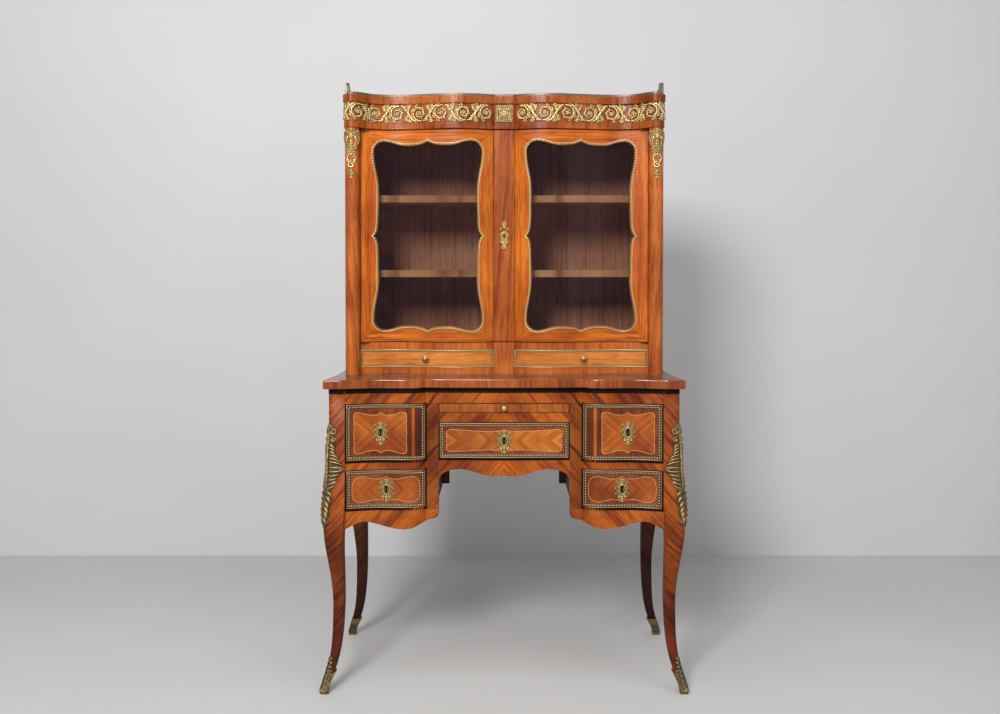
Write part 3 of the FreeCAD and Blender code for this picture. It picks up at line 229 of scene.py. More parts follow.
finishes = {
    # slanting kingwood, mirrored about the middle: the eye sees long chevrons sweep over the carcass
    "carcassVeneer": chevrons,
    # the same wood, darker, frames the kneehole
    "kneeholeVeneer": dict(chevrons, tones=("#3A1604", "#723408", "#964E14")),
    # slanting bands wrap round the leg and darken to the floor, which makes it look slimmer
    "legVeneer": dict(wrapped, tones=("#421804", "#7C360A", "#AA5616"), fade=(150, 470, "#AE9070")),
    # the back legs: the leg veneer darker, as painted shade for their place back under the desk
    "shadedBackLegVeneer": dict(wrapped, tones=("#2A1006", "#52240A", "#743A12"), fade=(150, 470, "#8E7460")),
    # the same chevrons on the sides of the desk
    "sideVeneer": dict(chevrons, plane="side", angle=55),
    # four quarters of grain run out from the middle of the drawer to its corners
    "quarteredVeneer": radiating,
    # two such figures side by side, quieter, on the long low drawers
    "twinQuarteredVeneer": dict(radiating, foldAcross=[0, 62], tones=("#662A0C", "#8E4416", "#AE5C22")),
    # herringbone: stripes that meet on the middle line and point to the ends
    "herringboneVeneer": dict(radiating, angle=38, tones=("#6E2E08", "#A05218", "#C4742C"), bandLength=420,
                              bandWidth=13),
    # dark crossbanding; near the kneehole a pale strip is a painted highlight on the crest of the curved
    # front, and the dark strips beside it are darker veneer deepened by painted shade where the front turns
    # in
    "upperBanding": dict(crossband, tones=("#4E200C", "#743614", "#8C4A1E"), foldAcross=[0], strips=[
        (204, 27, "#451C0C", 0.7), (233, 14, "#451C0C", 0.6), (222, 7.5, "#B45C1E", 0.85),
        (226.5, 1, "#240E06", 0.8), (217.5, 1, "#240E06", 0.8)]),
    # slanting banding, lighter, round the low drawers
    "lowerBanding": dict(crossband, tones=("#461C0A", "#76401E", "#90502A"), angle=35, foldAcross=[0]),
    # straight banding round the herringbone
    "centreBanding": dict(crossband, tones=("#461C0A", "#7A3C1A", "#985426"), angle=0),
    # upright grain divided by thin joints, which breaks up the long thin slide
    "slideVeneer": dict(crossband, tones=("#6E3212", "#924C1E", "#AC642A"), strips=[
        (side * at, 1.2, "#3A1A0A", 0.7) for side in (-1, 1) for at in (40, 120, 200)]),
    # plain straight tulipwood, mitred at the corners, so that the doors stay calm and light
    "doorVeneer": dict(tulipwood, foldAcross=[0], mitre=((196, 1112), (170, 271))),
    # straight upright grain that carries the eye up the corners
    "stileVeneer": dict(tulipwood, foldAcross=[0], angle=86, tones=("#8A3E10", "#A85420", "#C26C2E")),
    # a darker upright between the doors, with two fine lines
    "meetingVeneer": dict(tulipwood, tones=("#7C3006", "#9C4810", "#B4601E"), angle=86, strips=[
        (-9, 0.9, "#6B3213", 0.6), (9, 0.9, "#6B3213", 0.6)]),
    # long upright figure on the sides of the cabinet
    "cabinetSideVeneer": dict(tulipwood, plane="side", angle=88),
    # pale lengthways grain: the brightest wood of the front
    "smallDrawerVeneer": dict(tulipwood, foldAcross=[0], angle=0, tones=("#AE5A1E", "#C67230", "#D8883E")),
    # short upright grain with a wet gloss, so that the curved mouldings catch the light
    "mouldingVeneer": dict(kingwood, tones=("#6A2A08", "#964814", "#B05E20"), bandLength=70, bandWidth=12,
                           gloss=(0.24, 0.36), polish=0.2),
    # faded brown polish on the top, with a redder crossbanded edge below it
    "topVeneer": dict(kingwood, plane="top", foldAcross=[0], angle=0, tones=("#4E2C1C", "#6C4230", "#7E513A"),
                      gloss=(0.22, 0.36), polish=0.4,
                      edge=dict(kingwood, tones=("#642A0E", "#904618", "#AC602A"), bandWidth=9)),
    # bare walnut, dull and even, that lets the cabinet sink into shade behind the glass
    "insideWood": dict(unpolished, tones=("#8E6146", "#B98262", "#D09876")),
    # near-black wood: painted shade inside the kneehole, on its walls and on the desk's back behind it
    "kneeholeShadeWood": dict(unpolished, tones=("#20130C", "#342016", "#46301F")),
    # paler bare wood, so that the edges of the shelves stand out: partly the wood, partly a painted highlight
    # on their fronts
    "shelfWood": dict(unpolished, plane="top", angle=0, tones=("#A06A40", "#C08A58", "#D8A676")),
    # yellowish oak of drawer boxes and dust boards, dull beside the polished fronts
    "drawerWood": dict(unpolished, plane="top", tones=("#8A6A48", "#A98759", "#BE9C6C"), bandWidth=14),
    # matt near-black wood: painted shadow under the desk top and round the writing slide, painted shade in
    # the keyholes, and round the drawers an ebonised edge deepened by painted shadow
    "blackShadowWood": dict(kingwood, tones=("#0C0604", "#140B07", "#20130C"), angle=0, bandWidth=8, sheen=0.1,
                         gloss=(0.5, 0.65), polish=0),
}
woods = {name: veneer(name, look) for name, look in finishes.items()}


castingLook = {"grime": 240.0, "rise": (-0.09, 0.06), "stops": (0.42, 0.50, 0.57), "relief": 0.25,
               "depth": 0.4, "metallic": 0.62}


def castMetal(name, look):
    # cast and chased bronze: rubbed bright on the high places with a painted highlight, dark patina with
    # painted shade in the hollows
    material, tree, shader, place = newMaterial(name)
    grime = addNode(tree, "ShaderNodeTexNoise", {
        "Vector": place, "Scale": castingLook["grime"], "Detail": 3.0})
    lifts = [(grime, -look["grime"] / 2, look["grime"] / 2)]
    if look["carved"]:  # a casting carries the height of its carving, 0 at the ground and 1 at the top; low places are darkened as patina and painted shade, high ones lightened as painted highlight
        rise = addNode(tree, "ShaderNodeAttribute", output="Fac", attribute_name="rise")
        lifts.append((rise, *castingLook["rise"]))
    # pointiness darkens the hollows and lightens the crests: patina and wear, with painted shade and painted
    # highlight
    level = addNode(tree, "ShaderNodeNewGeometry", output="Pointiness")
    for value, low, high in lifts:
        lift = addNode(tree, "ShaderNodeMapRange", {"Value": value, "To Min": low, "To Max": high})
        level = addNode(tree, "ShaderNodeMath", {0: level, 1: lift}, operation="ADD")
    smooth, rough = look["rough"]
    fill(shader, {
        "Base Color": addNode(tree, "ShaderNodeValToRGB", {"Fac": level},
                              stops=zip(castingLook["stops"], look["tones"])),
        "Roughness": addNode(tree, "ShaderNodeMapRange", {
            "Value": grime, "From Min": 0.3, "From Max": 0.7, "To Min": smooth, "To Max": rough}),
        "Normal": addNode(tree, "ShaderNodeBump", {
            "Height": grime, "Strength": castingLook["relief"], "Distance": castingLook["depth"] * mm}),
        "Metallic": castingLook["metallic"]})
    return material


carving = {"grime": 0.12, "rough": (0.28, 0.48), "carved": True}
plain = {"grime": 0.12, "rough": (0.34, 0.5), "carved": False}
castings = {
    # fire-gilt bronze: warm and bright on its crests with painted highlight, nearly black in its hollows with
    # patina and painted shade, so the scrolls sparkle
    "gilt": dict(carving, tones=("#2A1808", "#94702E", "#FAE4AA")),
    # the escutcheon between the doors, regilt, is the brightest gold and marks the lock
    "lockGilt": dict(carving, tones=("#3A2608", "#B88A34", "#FFE9A6"), grime=0.08, rough=(0.24, 0.4)),
    # worn gilding, paler and greyer, on the other escutcheons
    "shield": dict(carving, tones=("#181006", "#7E642E", "#F4DC9C"), grime=0.08),
    # old bronze, olive-brown, on the legs; its highest leaves are lighter, rubbed by hands and lit by painted
    # highlight
    "bronze": dict(carving, tones=("#2A1E0E", "#5C4A2C", "#AC9160"), rough=(0.34, 0.52)),
    # leaves on the feet, the same bronze gone darker
    "footBronze": dict(carving, tones=("#1E160C", "#54452A", "#94804F"), grime=0.14, rough=(0.36, 0.54)),
    # foot bronze, dull from floor polish
    "shoe": dict(plain, tones=("#1E180E", "#4A3E28", "#7A6A48"), grime=0.16, rough=(0.38, 0.56)),
    # pressed brass edging of doors and small drawers: gold points, partly painted highlight, on brown
    "doorGilt": dict(plain, tones=("#241608", "#8C6232", "#E8C888"), grime=0.14, rough=(0.28, 0.46)),
    # brown brass of the desk drawers' edging: small bright points, partly painted highlight, between dark
    # gaps
    "edging": dict(plain, tones=("#180F08", "#6E5236", "#E6C294"), grime=0.18, rough=(0.3, 0.48)),
    # the plain rail beside it, greyer, which gives each drawer a quiet outline
    "railBrass": dict(plain, tones=("#1C120A", "#54402A", "#94785A"), grime=0.16),
    # turned knobs, polished by use
    "turnedBrass": dict(plain, tones=("#3A2E16", "#86693A", "#D8BC7C"), rough=(0.25, 0.4)),
    # ground of the edgings and hinge pins, almost black: dark bronze with painted shade between the beads, so
    # that the points in front of it show
    "darkBronze": dict(plain, tones=("#120D08", "#261E14", "#4A3E2C"), grime=0.14, rough=(0.38, 0.56)),
    # grey-brown metal of the low gallery, which ends the cabinet with a thin line
    "galleryBronze": dict(plain, tones=("#1E1812", "#3E362C", "#6A6152")),
}
metals = {name: castMetal(f"{name}Metal", look) for name, look in castings.items()}


glassLook = {"ripple": 9.0, "relief": 0.25, "depth": 2, "colour": "#141C28", "roughness": 0.04, "alpha": 0.2,
             "sheen": 0.25}
boxwood = {"fleck": 180.0, "tones": ("#AC6A34", "#CC8E52"), "roughness": 0.35}


def windowGlass():
    # old thin cabinet glass: clear, with a faint ripple in its reflections; its dark blue-grey veil is partly
    # the glass's own grey, mostly a painted reflection of a dark room
    material, tree, shader, place = newMaterial("cabinetGlass")
    ripple = addNode(tree, "ShaderNodeTexNoise", {
        "Vector": place, "Scale": glassLook["ripple"], "Detail": 1.0})
    fill(shader, {
        "Normal": addNode(tree, "ShaderNodeBump", {
            "Height": ripple, "Strength": glassLook["relief"], "Distance": glassLook["depth"] * mm}),
        "Base Color": toLinear(glassLook["colour"]), "Roughness": glassLook["roughness"], "IOR": 1.5,
        "Alpha": glassLook["alpha"], "Specular IOR Level": glassLook["sheen"]})
    return material


def inlayWood():
    # pale box line let into the veneer, toned down by old polish
    material, tree, shader, place = newMaterial("boxStringing")
    fleck = addNode(tree, "ShaderNodeTexNoise", {"Vector": place, "Scale": boxwood["fleck"], "Detail": 2.0})
    tone = addNode(tree, "ShaderNodeValToRGB", {"Fac": fleck}, stops=zip((0.35, 0.6), boxwood["tones"]))
    fill(shader, {"Base Color": tone, "Roughness": boxwood["roughness"]})
    return material


glass = windowGlass()
stringing = inlayWood()
print("finishes mixed")


def bodyOf(node):
    return nodes[node]["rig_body"]


def paint(names, material):
    for name in names:
        nodes[name].data.materials.clear()
        nodes[name].data.materials.append(material)


def makePiece(name, mesh, material, body, stands=(), smooth=True, turnOut=True):
    # a piece from a mesh or a BMesh; turnOut makes the faces of a BMesh look outwards
    if isinstance(mesh, bmesh.types.BMesh):
        if turnOut:
            bmesh.ops.recalc_face_normals(mesh, faces=mesh.faces)
        data = bpy.data.meshes.new(name)
        mesh.to_mesh(data)
        mesh.free()
        mesh = data
    mesh.name = name
    piece = bpy.data.objects.new(name, mesh)
    bpy.context.scene.collection.objects.link(piece)
    mesh.materials.clear()
    mesh.materials.append(material)
    mesh.polygons.foreach_set("use_smooth", [smooth] * len(mesh.polygons))
    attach(piece, body)
    if stands:
        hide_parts(*stands)
    return piece


def cadCopy(node, keep=None):
    # merged copy of a CAD node; keep picks its solids by their box
    copy = bmesh.new()
    copy.from_mesh(nodes[node].data)
    bmesh.ops.remove_doubles(copy, verts=copy.verts, dist=1e-6)
    waiting, unwanted = set(copy.verts) if keep else set(), []
    while waiting:
        island = [waiting.pop()]
        for vert in island:  # the island grows while it is walked
            linked = {edge.other_vert(vert) for edge in vert.link_edges} & waiting
            waiting -= linked
            island += linked
        ends = [Vector([end(vert.co[axis] for vert in island) for axis in range(3)]) for end in (min, max)]
        if not keep(*ends):
            unwanted += island
    bmesh.ops.delete(copy, geom=unwanted, context="VERTS")
    return copy


def bevelEdges(piece, radius, segments, angle):
    bevel = piece.modifiers.new("easedEdges", "BEVEL")
    bevel.width, bevel.segments = radius * mm, segments
    bevel.limit_method, bevel.angle_limit = "ANGLE", math.radians(angle)


easing = {"flat": 0.6, "sharp": 40}  # degrees: flatter bends are merged, sharper ones are eased


def eased(node, name, material, radius, segments):
    # the same solid with its sharp edges eased
    copy = cadCopy(node)
    flat = math.radians(easing["flat"])
    bmesh.ops.dissolve_limit(copy, angle_limit=flat, verts=copy.verts, edges=copy.edges)
    piece = makePiece(name, copy, material, bodyOf(node), [node], smooth=False, turnOut=False)
    bevelEdges(piece, radius, segments, easing["sharp"])


def treeOf(mesh):
    return BVHTree.FromPolygons([v.co for v in mesh.vertices], [tuple(p.vertices) for p in mesh.polygons])


trees = {}


def surface(node):
    if node not in trees:
        trees[node] = treeOf(nodes[node].data)
    return trees[node]


def frontAt(tree, x, z):
    # where a line from the front meets a surface, if it does
    return tree.ray_cast(Vector((x * mm, -1, z * mm)), Vector((0, 1, 0)))[0]


# steps to the side that are tried in turn, in mm
nearby = [(0, 0)] + [(reach * math.cos(math.radians(a)), reach * math.sin(math.radians(a)))
                     for reach in (0.8, 1.6, 3.2, 6) for a in range(0, 360, 30)]


def onFront(node):
    # maps (across, up, out) in mm to a point over the front of a node; past its edge the nearest depth counts
    tree = surface(node)

    def placeAt(across, up, out):
        for du, dv in nearby:
            hit = frontAt(tree, across + du, up + dv)
            if hit:
                return Vector((across * mm, hit.y - out * mm, up * mm))
        raise ValueError(f"{node} has no front at {across:.1f}, {up:.1f}")
    return placeAt


def loopFaces(bm, a, b):
    # joins two rings of points with quads
    for k in range(len(a)):
        bm.faces.new((a[k], a[(k + 1) % len(a)], b[(k + 1) % len(a)], b[k]))


def tube(bm, rings):
    # closed body through rings of points
    for a, b in zip(rings, rings[1:]):
        loopFaces(bm, a, b)
    bm.faces.new(rings[0])
    bm.faces.new(list(reversed(rings[-1])))


def swell(values, t):
    first, middle, last = values
    if t < 0.5:
        return first + (middle - first) * math.sin(math.pi * t)
    return last + (middle - last) * math.sin(math.pi * t)


stripSection = ((-1, 0.15), (-0.72, 1), (0.72, 1), (1, 0.15))  # share of half width, share of height


def band(bm, path, width, height, placeAt, closed=False, sink=0.3):
    # flat-topped strip with eased edges along a path of (u, v) points, mitred where the path turns
    rings, count = [], len(path)
    for i, (u, v) in enumerate(path):
        before = path[(i - 1) % count] if closed or i else path[i]
        after = path[(i + 1) % count] if closed or i < count - 1 else path[i]
        inward = Vector((u - before[0], v - before[1]))
        outward = Vector((after[0] - u, after[1] - v))
        inward, outward = (inward or outward).normalized(), (outward or inward).normalized()
        along = (inward + outward).normalized()
        half = width / 2 / max(along.dot(outward), 0.6)
        section = [(s, height * rise) for s, rise in stripSection] + [(1, -sink), (-1, -sink)]
        rings.append([bm.verts.new(placeAt(u - along.y * half * s, v + along.x * half * s, out))
                      for s, out in section])
    if closed:
        for a, b in zip(rings, rings[1:] + rings[:1]):
            loopFaces(bm, a, b)
    else:
        tube(bm, rings)


def stripPiece(name, path, width, height, placeAt, material, body, closed=True, smooth=False):
    bm = bmesh.new()
    band(bm, path, width, height, placeAt, closed)
    makePiece(name, bm, material, body, smooth=smooth)


# cast ornament is carved as heights over a fine grid, raised and cut by tools that follow paths

def newRelief(left, right, low, high, cell):
    us, vs = np.arange(left, right + cell, cell), np.arange(low, high + cell, cell)
    return {"u": us, "v": vs, "cell": cell, "rise": np.zeros((len(us), len(vs)))}


def press(relief, u, v, radius, height, cut=False):
    # a round tool: it raises a dome, or cuts a hollow into what stands above the ground
    us, vs, cell = relief["u"], relief["v"], relief["cell"]
    i0, i1 = max(int((u - radius - us[0]) / cell), 0), min(int((u + radius - us[0]) / cell) + 2, len(us))
    j0, j1 = max(int((v - radius - vs[0]) / cell), 0), min(int((v + radius - vs[0]) / cell) + 2, len(vs))
    if i0 >= i1 or j0 >= j1:
        return
    share = 1 - ((us[i0:i1, None] - u) ** 2 + (vs[None, j0:j1] - v) ** 2) / radius ** 2
    part, ground = relief["rise"][i0:i1, j0:j1], 0.5
    if cut:
        lowered = np.maximum(part - height * np.maximum(share, 0), ground)
        np.copyto(part, lowered, where=(part > ground) & (share > 0))
    else:
        np.maximum(part, height * np.sqrt(np.maximum(share, 0)), out=part)


def lengthOf(path):
    return sum(math.dist(a, b) for a, b in zip(path, path[1:]))


def pointOn(path, t):
    # point and direction at a share of a path's length
    lengths = [math.dist(a, b) for a, b in zip(path, path[1:])]
    left = t * sum(lengths)
    for (a, b), length in zip(zip(path, path[1:]), lengths):
        if left <= length and length > 0:
            break
        left -= length
    share = min(max(left / length, 0), 1)
    direction = ((b[0] - a[0]) / length, (b[1] - a[1]) / length)
    return (a[0] + (b[0] - a[0]) * share, a[1] + (b[1] - a[1]) * share), direction


def stroke(relief, path, width, height, cut=False):
    count = max(2, int(lengthOf(path) / relief["cell"] / 0.9))
    for k in range(count + 1):
        (u, v), _ = pointOn(path, k / count)
        press(relief, u, v, swell(width, k / count) / 2, swell(height, k / count), cut)


def spiral(centre, start, end, angle, turns, count=28):
    points = []
    for i in range(count):
        t = i / (count - 1)
        radius = start + (end - start) * t ** 0.8
        a = math.radians(angle) + 2 * math.pi * turns * t
        points.append((centre[0] + radius * math.cos(a), centre[1] + radius * math.sin(a)))
    return points


def bezier(a, b, c, d, count=14):
    points = []
    for i in range(count):
        t = i / (count - 1)
        weights = ((1 - t) ** 3, 3 * t * (1 - t) ** 2, 3 * t * t * (1 - t), t ** 3)
        points.append(tuple(sum(w * p[k] for w, p in zip(weights, (a, b, c, d))) for k in (0, 1)))
    return points


# sizes at root, middle and tip, as shares of the leaf's width, of a leaflet's pitch or of the height
leafTools = {"rib": ((0.3, 0.42, 0.16), (0.8, 1, 0.6)), "reach": (0.36, 0.56, 0.24), "spread": 50,
             "lobe": ((0.7, 0.82, 0.42), (0.8, 0.85, 0.5)), "vein": ((1, 1, 0.7), (0.28, 0.3, 0.1)),
             "ribGroove": ((1, 1.2, 0.6), (0.2, 0.34, 0.1)), "groove": (1.1, 0.24, 1.9)}


def acanthus(relief, path, width, height, lobes=4):
    # a midrib with pairs of leaflets that point forwards, each with a vein cut into it
    def run(line, tool, size, cut=False):
        widths, heights = leafTools[tool]
        stroke(relief, line, [size * share for share in widths], [height * share for share in heights], cut)

    pitch = lengthOf(path) / lobes
    run(path, "rib", width)
    veins = []
    for k in range(lobes):
        (u, v), (du, dv) = pointOn(path, (k + 0.4) / lobes)
        reach = width * swell(leafTools["reach"], (k + 0.4) / lobes)
        for side in (-1, 1):
            a = math.atan2(dv, du) + side * math.radians(leafTools["spread"])
            tip = (u + reach * math.cos(a), v + reach * math.sin(a))
            run([(u, v), tip], "lobe", pitch)
            veins.append([(u, v), (u + 0.8 * (tip[0] - u), v + 0.8 * (tip[1] - v))])
    least, share, most = leafTools["groove"]
    groove = min(max(least, pitch * share), most)
    for vein in veins:
        run(vein, "vein", groove, cut=True)
    run(path, "ribGroove", groove, cut=True)


def leaf(relief, root, angle, length, width, bend, height=3.0, lobes=3):
    # one acanthus leaf that leaves its root at an angle and curls by bend degrees
    points, a, steps = [root], math.radians(angle), 14
    for _ in range(steps):
        a += math.radians(bend) / steps
        u, v = points[-1]
        points.append((u + length / steps * math.cos(a), v + length / steps * math.sin(a)))
    acanthus(relief, points, width, height, lobes)


def rosette(relief, u, v, radius, height, petals=5):
    ringRadius, petal, heart = radius * 0.6, radius * 0.45, radius * 0.36
    for k in range(petals):
        a = 2 * math.pi * k / petals
        press(relief, u + ringRadius * math.cos(a), v + ringRadius * math.sin(a), petal, height * 0.8)
    press(relief, u, v, heart, height)


def castRelief(name, relief, placeAt, material, body, stands=()):
    # closed casting: the carved front, and a back just under the surface that it lies on
    rise, us, vs, sunk = relief["rise"], relief["u"], relief["v"], -0.4
    raised = (rise[:-1, :-1] > 0) | (rise[1:, :-1] > 0) | (rise[1:, 1:] > 0) | (rise[:-1, 1:] > 0)
    bm, front, back, facing = bmesh.new(), {}, {}, 0.0
    carved, top = bm.verts.layers.float.new("rise"), float(rise.max())
    for i, j in np.argwhere(raised):
        corners = ((i, j), (i + 1, j), (i + 1, j + 1), (i, j + 1))
        for key in corners:
            if key not in front:
                u, v, height = us[key[0]], vs[key[1]], rise[key]
                front[key] = bm.verts.new(placeAt(u, v, height))
                front[key][carved] = height / top
                back[key] = bm.verts.new(placeAt(u, v, sunk)) if height > 0 else front[key]
        face = bm.faces.new([front[key] for key in corners])
        bm.faces.new([back[key] for key in reversed(corners)])
        face.normal_update()
        facing += face.normal.dot(sum((front[key].co - back[key].co for key in corners), Vector()))
    if facing < 0:  # a mirrored casting comes out with its front turned in
        bmesh.ops.reverse_faces(bm, faces=bm.faces[:])
    makePiece(name, bm, material, body, stands, turnOut=False)


def edgingTree():
    # a row of gadroons along a path, each turned to the path and leaning by the slant
    tree = bpy.data.node_groups.new("gadroonEdging", "GeometryNodeTree")
    tree.interface.new_socket("Path", in_out="INPUT", socket_type="NodeSocketGeometry")
    for name in ("Pitch", "Bead Length", "Bead Width", "Relief", "Slant"):
        tree.interface.new_socket(name, in_out="INPUT", socket_type="NodeSocketFloat")
    tree.interface.new_socket("Metal", in_out="INPUT", socket_type="NodeSocketMaterial")
    tree.interface.new_socket("Edging", in_out="OUTPUT", socket_type="NodeSocketGeometry")
    given = addNode(tree, "NodeGroupInput").node.outputs
    curve = addNode(tree, "GeometryNodeMeshToCurve", {"Mesh": given["Path"]})
    even = addNode(tree, "GeometryNodeResampleCurve", {"Curve": curve, "Length": given["Pitch"]},
                   mode="LENGTH")
    size = addNode(tree, "ShaderNodeCombineXYZ", {
        "X": given["Bead Length"], "Y": given["Bead Width"], "Z": given["Relief"]})
    ball = addNode(tree, "GeometryNodeMeshUVSphere", {"Segments": 8, "Rings": 5, "Radius": 0.5},
                   output="Mesh")
    gadroon = addNode(tree, "GeometryNodeTransform", {"Geometry": ball, "Scale": size})
    tangent = addNode(tree, "GeometryNodeInputTangent")
    run = addNode(tree, "FunctionNodeAlignRotationToVector", {"Vector": tangent}, axis="X")
    face = addNode(tree, "FunctionNodeAlignRotationToVector", {"Rotation": run, "Vector": (0, -1, 0)},
                   axis="Z", pivot_axis="X")
    lean = addNode(tree, "FunctionNodeAxisAngleToRotation", {"Axis": (0, 0, 1), "Angle": given["Slant"]})
    turn = addNode(tree, "FunctionNodeRotateRotation", {"Rotation": face, "Rotate By": lean},
                   rotation_space="LOCAL")
    row = addNode(tree, "GeometryNodeInstanceOnPoints", {
        "Points": even, "Instance": gadroon, "Rotation": turn})
    real = addNode(tree, "GeometryNodeRealizeInstances", {"Geometry": row})
    metal = addNode(tree, "GeometryNodeSetMaterial", {"Geometry": real, "Material": given["Metal"]})
    addNode(tree, "NodeGroupOutput", {"Edging": metal})
    return tree


gadroons = edgingTree()
sockets = {item.name: item.identifier for item in gadroons.interface.items_tree if item.in_out == "INPUT"}


def edging(name, path, sizes, material, body):
    # gadroons along a closed path of points in metres
    data = bpy.data.meshes.new(name)
    data.from_pydata(path, [(i, (i + 1) % len(path)) for i in range(len(path))], [])
    carrier = bpy.data.objects.new(name, data)
    bpy.context.scene.collection.objects.link(carrier)
    modifier = carrier.modifiers.new("gadroons", "NODES")
    modifier.node_group = gadroons
    for key, value in sizes.items():
        modifier[sockets[key]] = math.radians(value) if key == "Slant" else value * mm
    modifier[sockets["Metal"]] = material
    graph = bpy.context.evaluated_depsgraph_get()
    mesh = bpy.data.meshes.new_from_object(carrier.evaluated_get(graph))
    bpy.data.objects.remove(carrier)
    makePiece(name, mesh, material, body)


def keyhole(relief, cx, keyUp, look, wider=0.0):
    # a round bow with a slot below it
    du, dv = relief["u"][:, None] - cx, relief["v"][None, :] - keyUp
    bow = du ** 2 + (dv - look["bow"]) ** 2 < (look["bow"] + wider) ** 2
    return bow | ((abs(du) < look["slot"] + wider) & (dv < look["bow"]) & (dv > -look["drop"] - wider))


shieldLeaves = ((0.45, 40), (0.05, 0), (-0.3, -35))  # on each side: share of the half height, angle


def escutcheon(name, placeAt, cx, cz, look, material, body):
    # openwork shield: an oval with a keyhole, leafy C-scrolls round it, a crown above and a palmette below
    w, h, keyUp = look["halfWidth"], look["halfHeight"], cz + look["keyUp"]
    ovalWidth, ovalHeight = look["oval"]
    relief = newRelief(cx - w - 2, cx + w + 2, cz - h - 2, cz + h + 2, look["cell"])
    for side in (-1, 1):
        outer = [(cx + side * ovalWidth * 1.45 * math.sin(math.pi * k / 12),
                  keyUp + ovalHeight * 1.3 * math.cos(math.pi * k / 12)) for k in range(13)]
        acanthus(relief, outer, w * 0.42, 3.6, 7)
        for up, angle in shieldLeaves:
            leaf(relief, (cx + side * w * 0.5, keyUp + h * up), 90 - side * (90 - angle), w * 0.42, w * 0.34,
                 side * 30, 3.2, 2)
        leaf(relief, (cx + side * w * 0.1, cz + h * 0.52), 90 - side * 34, h * 0.36, w * 0.36, side * 40)
        leaf(relief, (cx + side * w * 0.06, cz - h * 0.62), -90 + side * 46, h * 0.34, w * 0.36, -side * 40)
        curl = spiral((cx + side * w * 0.42, cz - h * 0.50), w * 0.2, w * 0.06, 90, side * 1.0, 16)
        stroke(relief, curl, (2, 2.8, 2), (3, 3.6, 3))
    leaf(relief, (cx, cz + h * 0.44), 90, h * 0.52, w * 0.46, 0, 4.2)
    leaf(relief, (cx, cz - h * 0.46), -90, h * 0.50, w * 0.5, 0, 4.6)
    du, dv = relief["u"][:, None] - cx, relief["v"][None, :] - keyUp
    relief["rise"][(du / ovalWidth) ** 2 + (dv / ovalHeight) ** 2 < 1] = 1.6
    rim = [(cx + ovalWidth * math.cos(math.pi * k / 12), keyUp + ovalHeight * math.sin(math.pi * k / 12))
           for k in range(25)]
    stroke(relief, rim, (2.2,) * 3, (4.2,) * 3)
    press(relief, cx, cz - h * 0.5, w * 0.16, 5.2)
    press(relief, cx, cz + h * 0.5, w * 0.13, 4.8)
    relief["rise"][keyhole(relief, cx, keyUp, look)] = 0
    castRelief(name, relief, placeAt, material, body)
    # a matt black piece behind the keyhole: painted shade in the hole
    hole = newRelief(cx - ovalWidth, cx + ovalWidth, keyUp - ovalHeight, keyUp + ovalHeight, look["cell"])
    hole["rise"][keyhole(hole, cx, keyUp, look, 1)] = 0.5
    castRelief(f"{name}_keyhole", hole, placeAt, woods["blackShadowWood"], body)


def knob(name, centre, profile, body, stands=(), segments=28):
    # turned about an axis along Y; profile gives (distance out, radius) in mm from the front surface
    bm, rings, (x, y, z) = bmesh.new(), [], centre
    turns = [2 * math.pi * k / segments for k in range(segments)]
    for out, radius in profile:
        rings.append([bm.verts.new(((x + radius * math.cos(a)) * mm, (y - out) * mm,
                                    (z + radius * math.sin(a)) * mm)) for a in turns])
    tube(bm, rings)
    makePiece(name, bm, metals["turnedBrass"], body, stands)


deskShield = {"halfWidth": 19, "halfHeight": 29, "oval": (7.5, 12.5), "keyUp": 3, "cell": 0.6, "bow": 3.7,
              "slot": 2.4, "drop": 9.5, "below": 1}
deskShadowMargin = {"width": 10, "proud": 0.1}
# the trim is set in furthest at the bottom, so that a wider black band shows below it: painted shadow under
# the proud front
deskTrim = {"inset": (2.6, 2.6, 6.0, 1.5), "width": 9.4, "thick": 0.9, "rail": 2.6, "railProud": 3.0,
            "beads": 6.1}
deskBeads = {"Pitch": 6.6, "Bead Length": 5.2, "Bead Width": 3.0, "Relief": 5.0, "Slant": 48}
stringLine = {"width": 1.5, "proud": 0.22}


def boxOf(node):
    # left, right, low and high edge in mm, as the front shows them
    low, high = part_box(node)
    return [value / mm for value in (low.x, high.x, low.z, high.z)]


def middleOf(box):
    return (box[0] + box[1]) / 2, (box[2] + box[3]) / 2


def inside(box, insets):
    return [edge + inset * way for edge, inset, way in zip(box, insets, (1, -1, 1, -1))]


def ring(box, inset, pitch=9):
    # closed rectangle as (u, v) points, from the middle of its lower edge
    left, right, low, high = inside(box, [inset] * 4)
    middle = middleOf(box)[0]
    corners = [(middle, low), (right, low), (right, high), (left, high), (left, low), (middle, low)]
    points = []
    for (u0, v0), (u1, v1) in zip(corners, corners[1:]):
        count = max(2, int(math.dist((u0, v0), (u1, v1)) / pitch))
        points += [(u0 + (u1 - u0) * i / count, v0 + (v1 - v0) * i / count) for i in range(count)]
    return points


def edgeTrim(name, box, look, beads, railMetal, beadMetal, placeAt, body, bm):
    # thin dark band with a round bright rail outside and a row of slanting gadroons inside
    band(bm, ring(box, look["width"] / 2), look["width"], look["thick"], placeAt, closed=True)
    makePiece(f"{name}_trim", bm, metals["darkBronze"], body, [f"{name}_mounts"], smooth=False)
    stripPiece(f"{name}_rail", ring(box, look["rail"] / 2), look["rail"], look["railProud"], placeAt,
               railMetal, body, smooth=True)
    path = [placeAt(u, v, look["thick"]) for u, v in ring(box, look["beads"], 6)]
    edging(f"{name}_gadroons", path, beads, beadMetal, body)


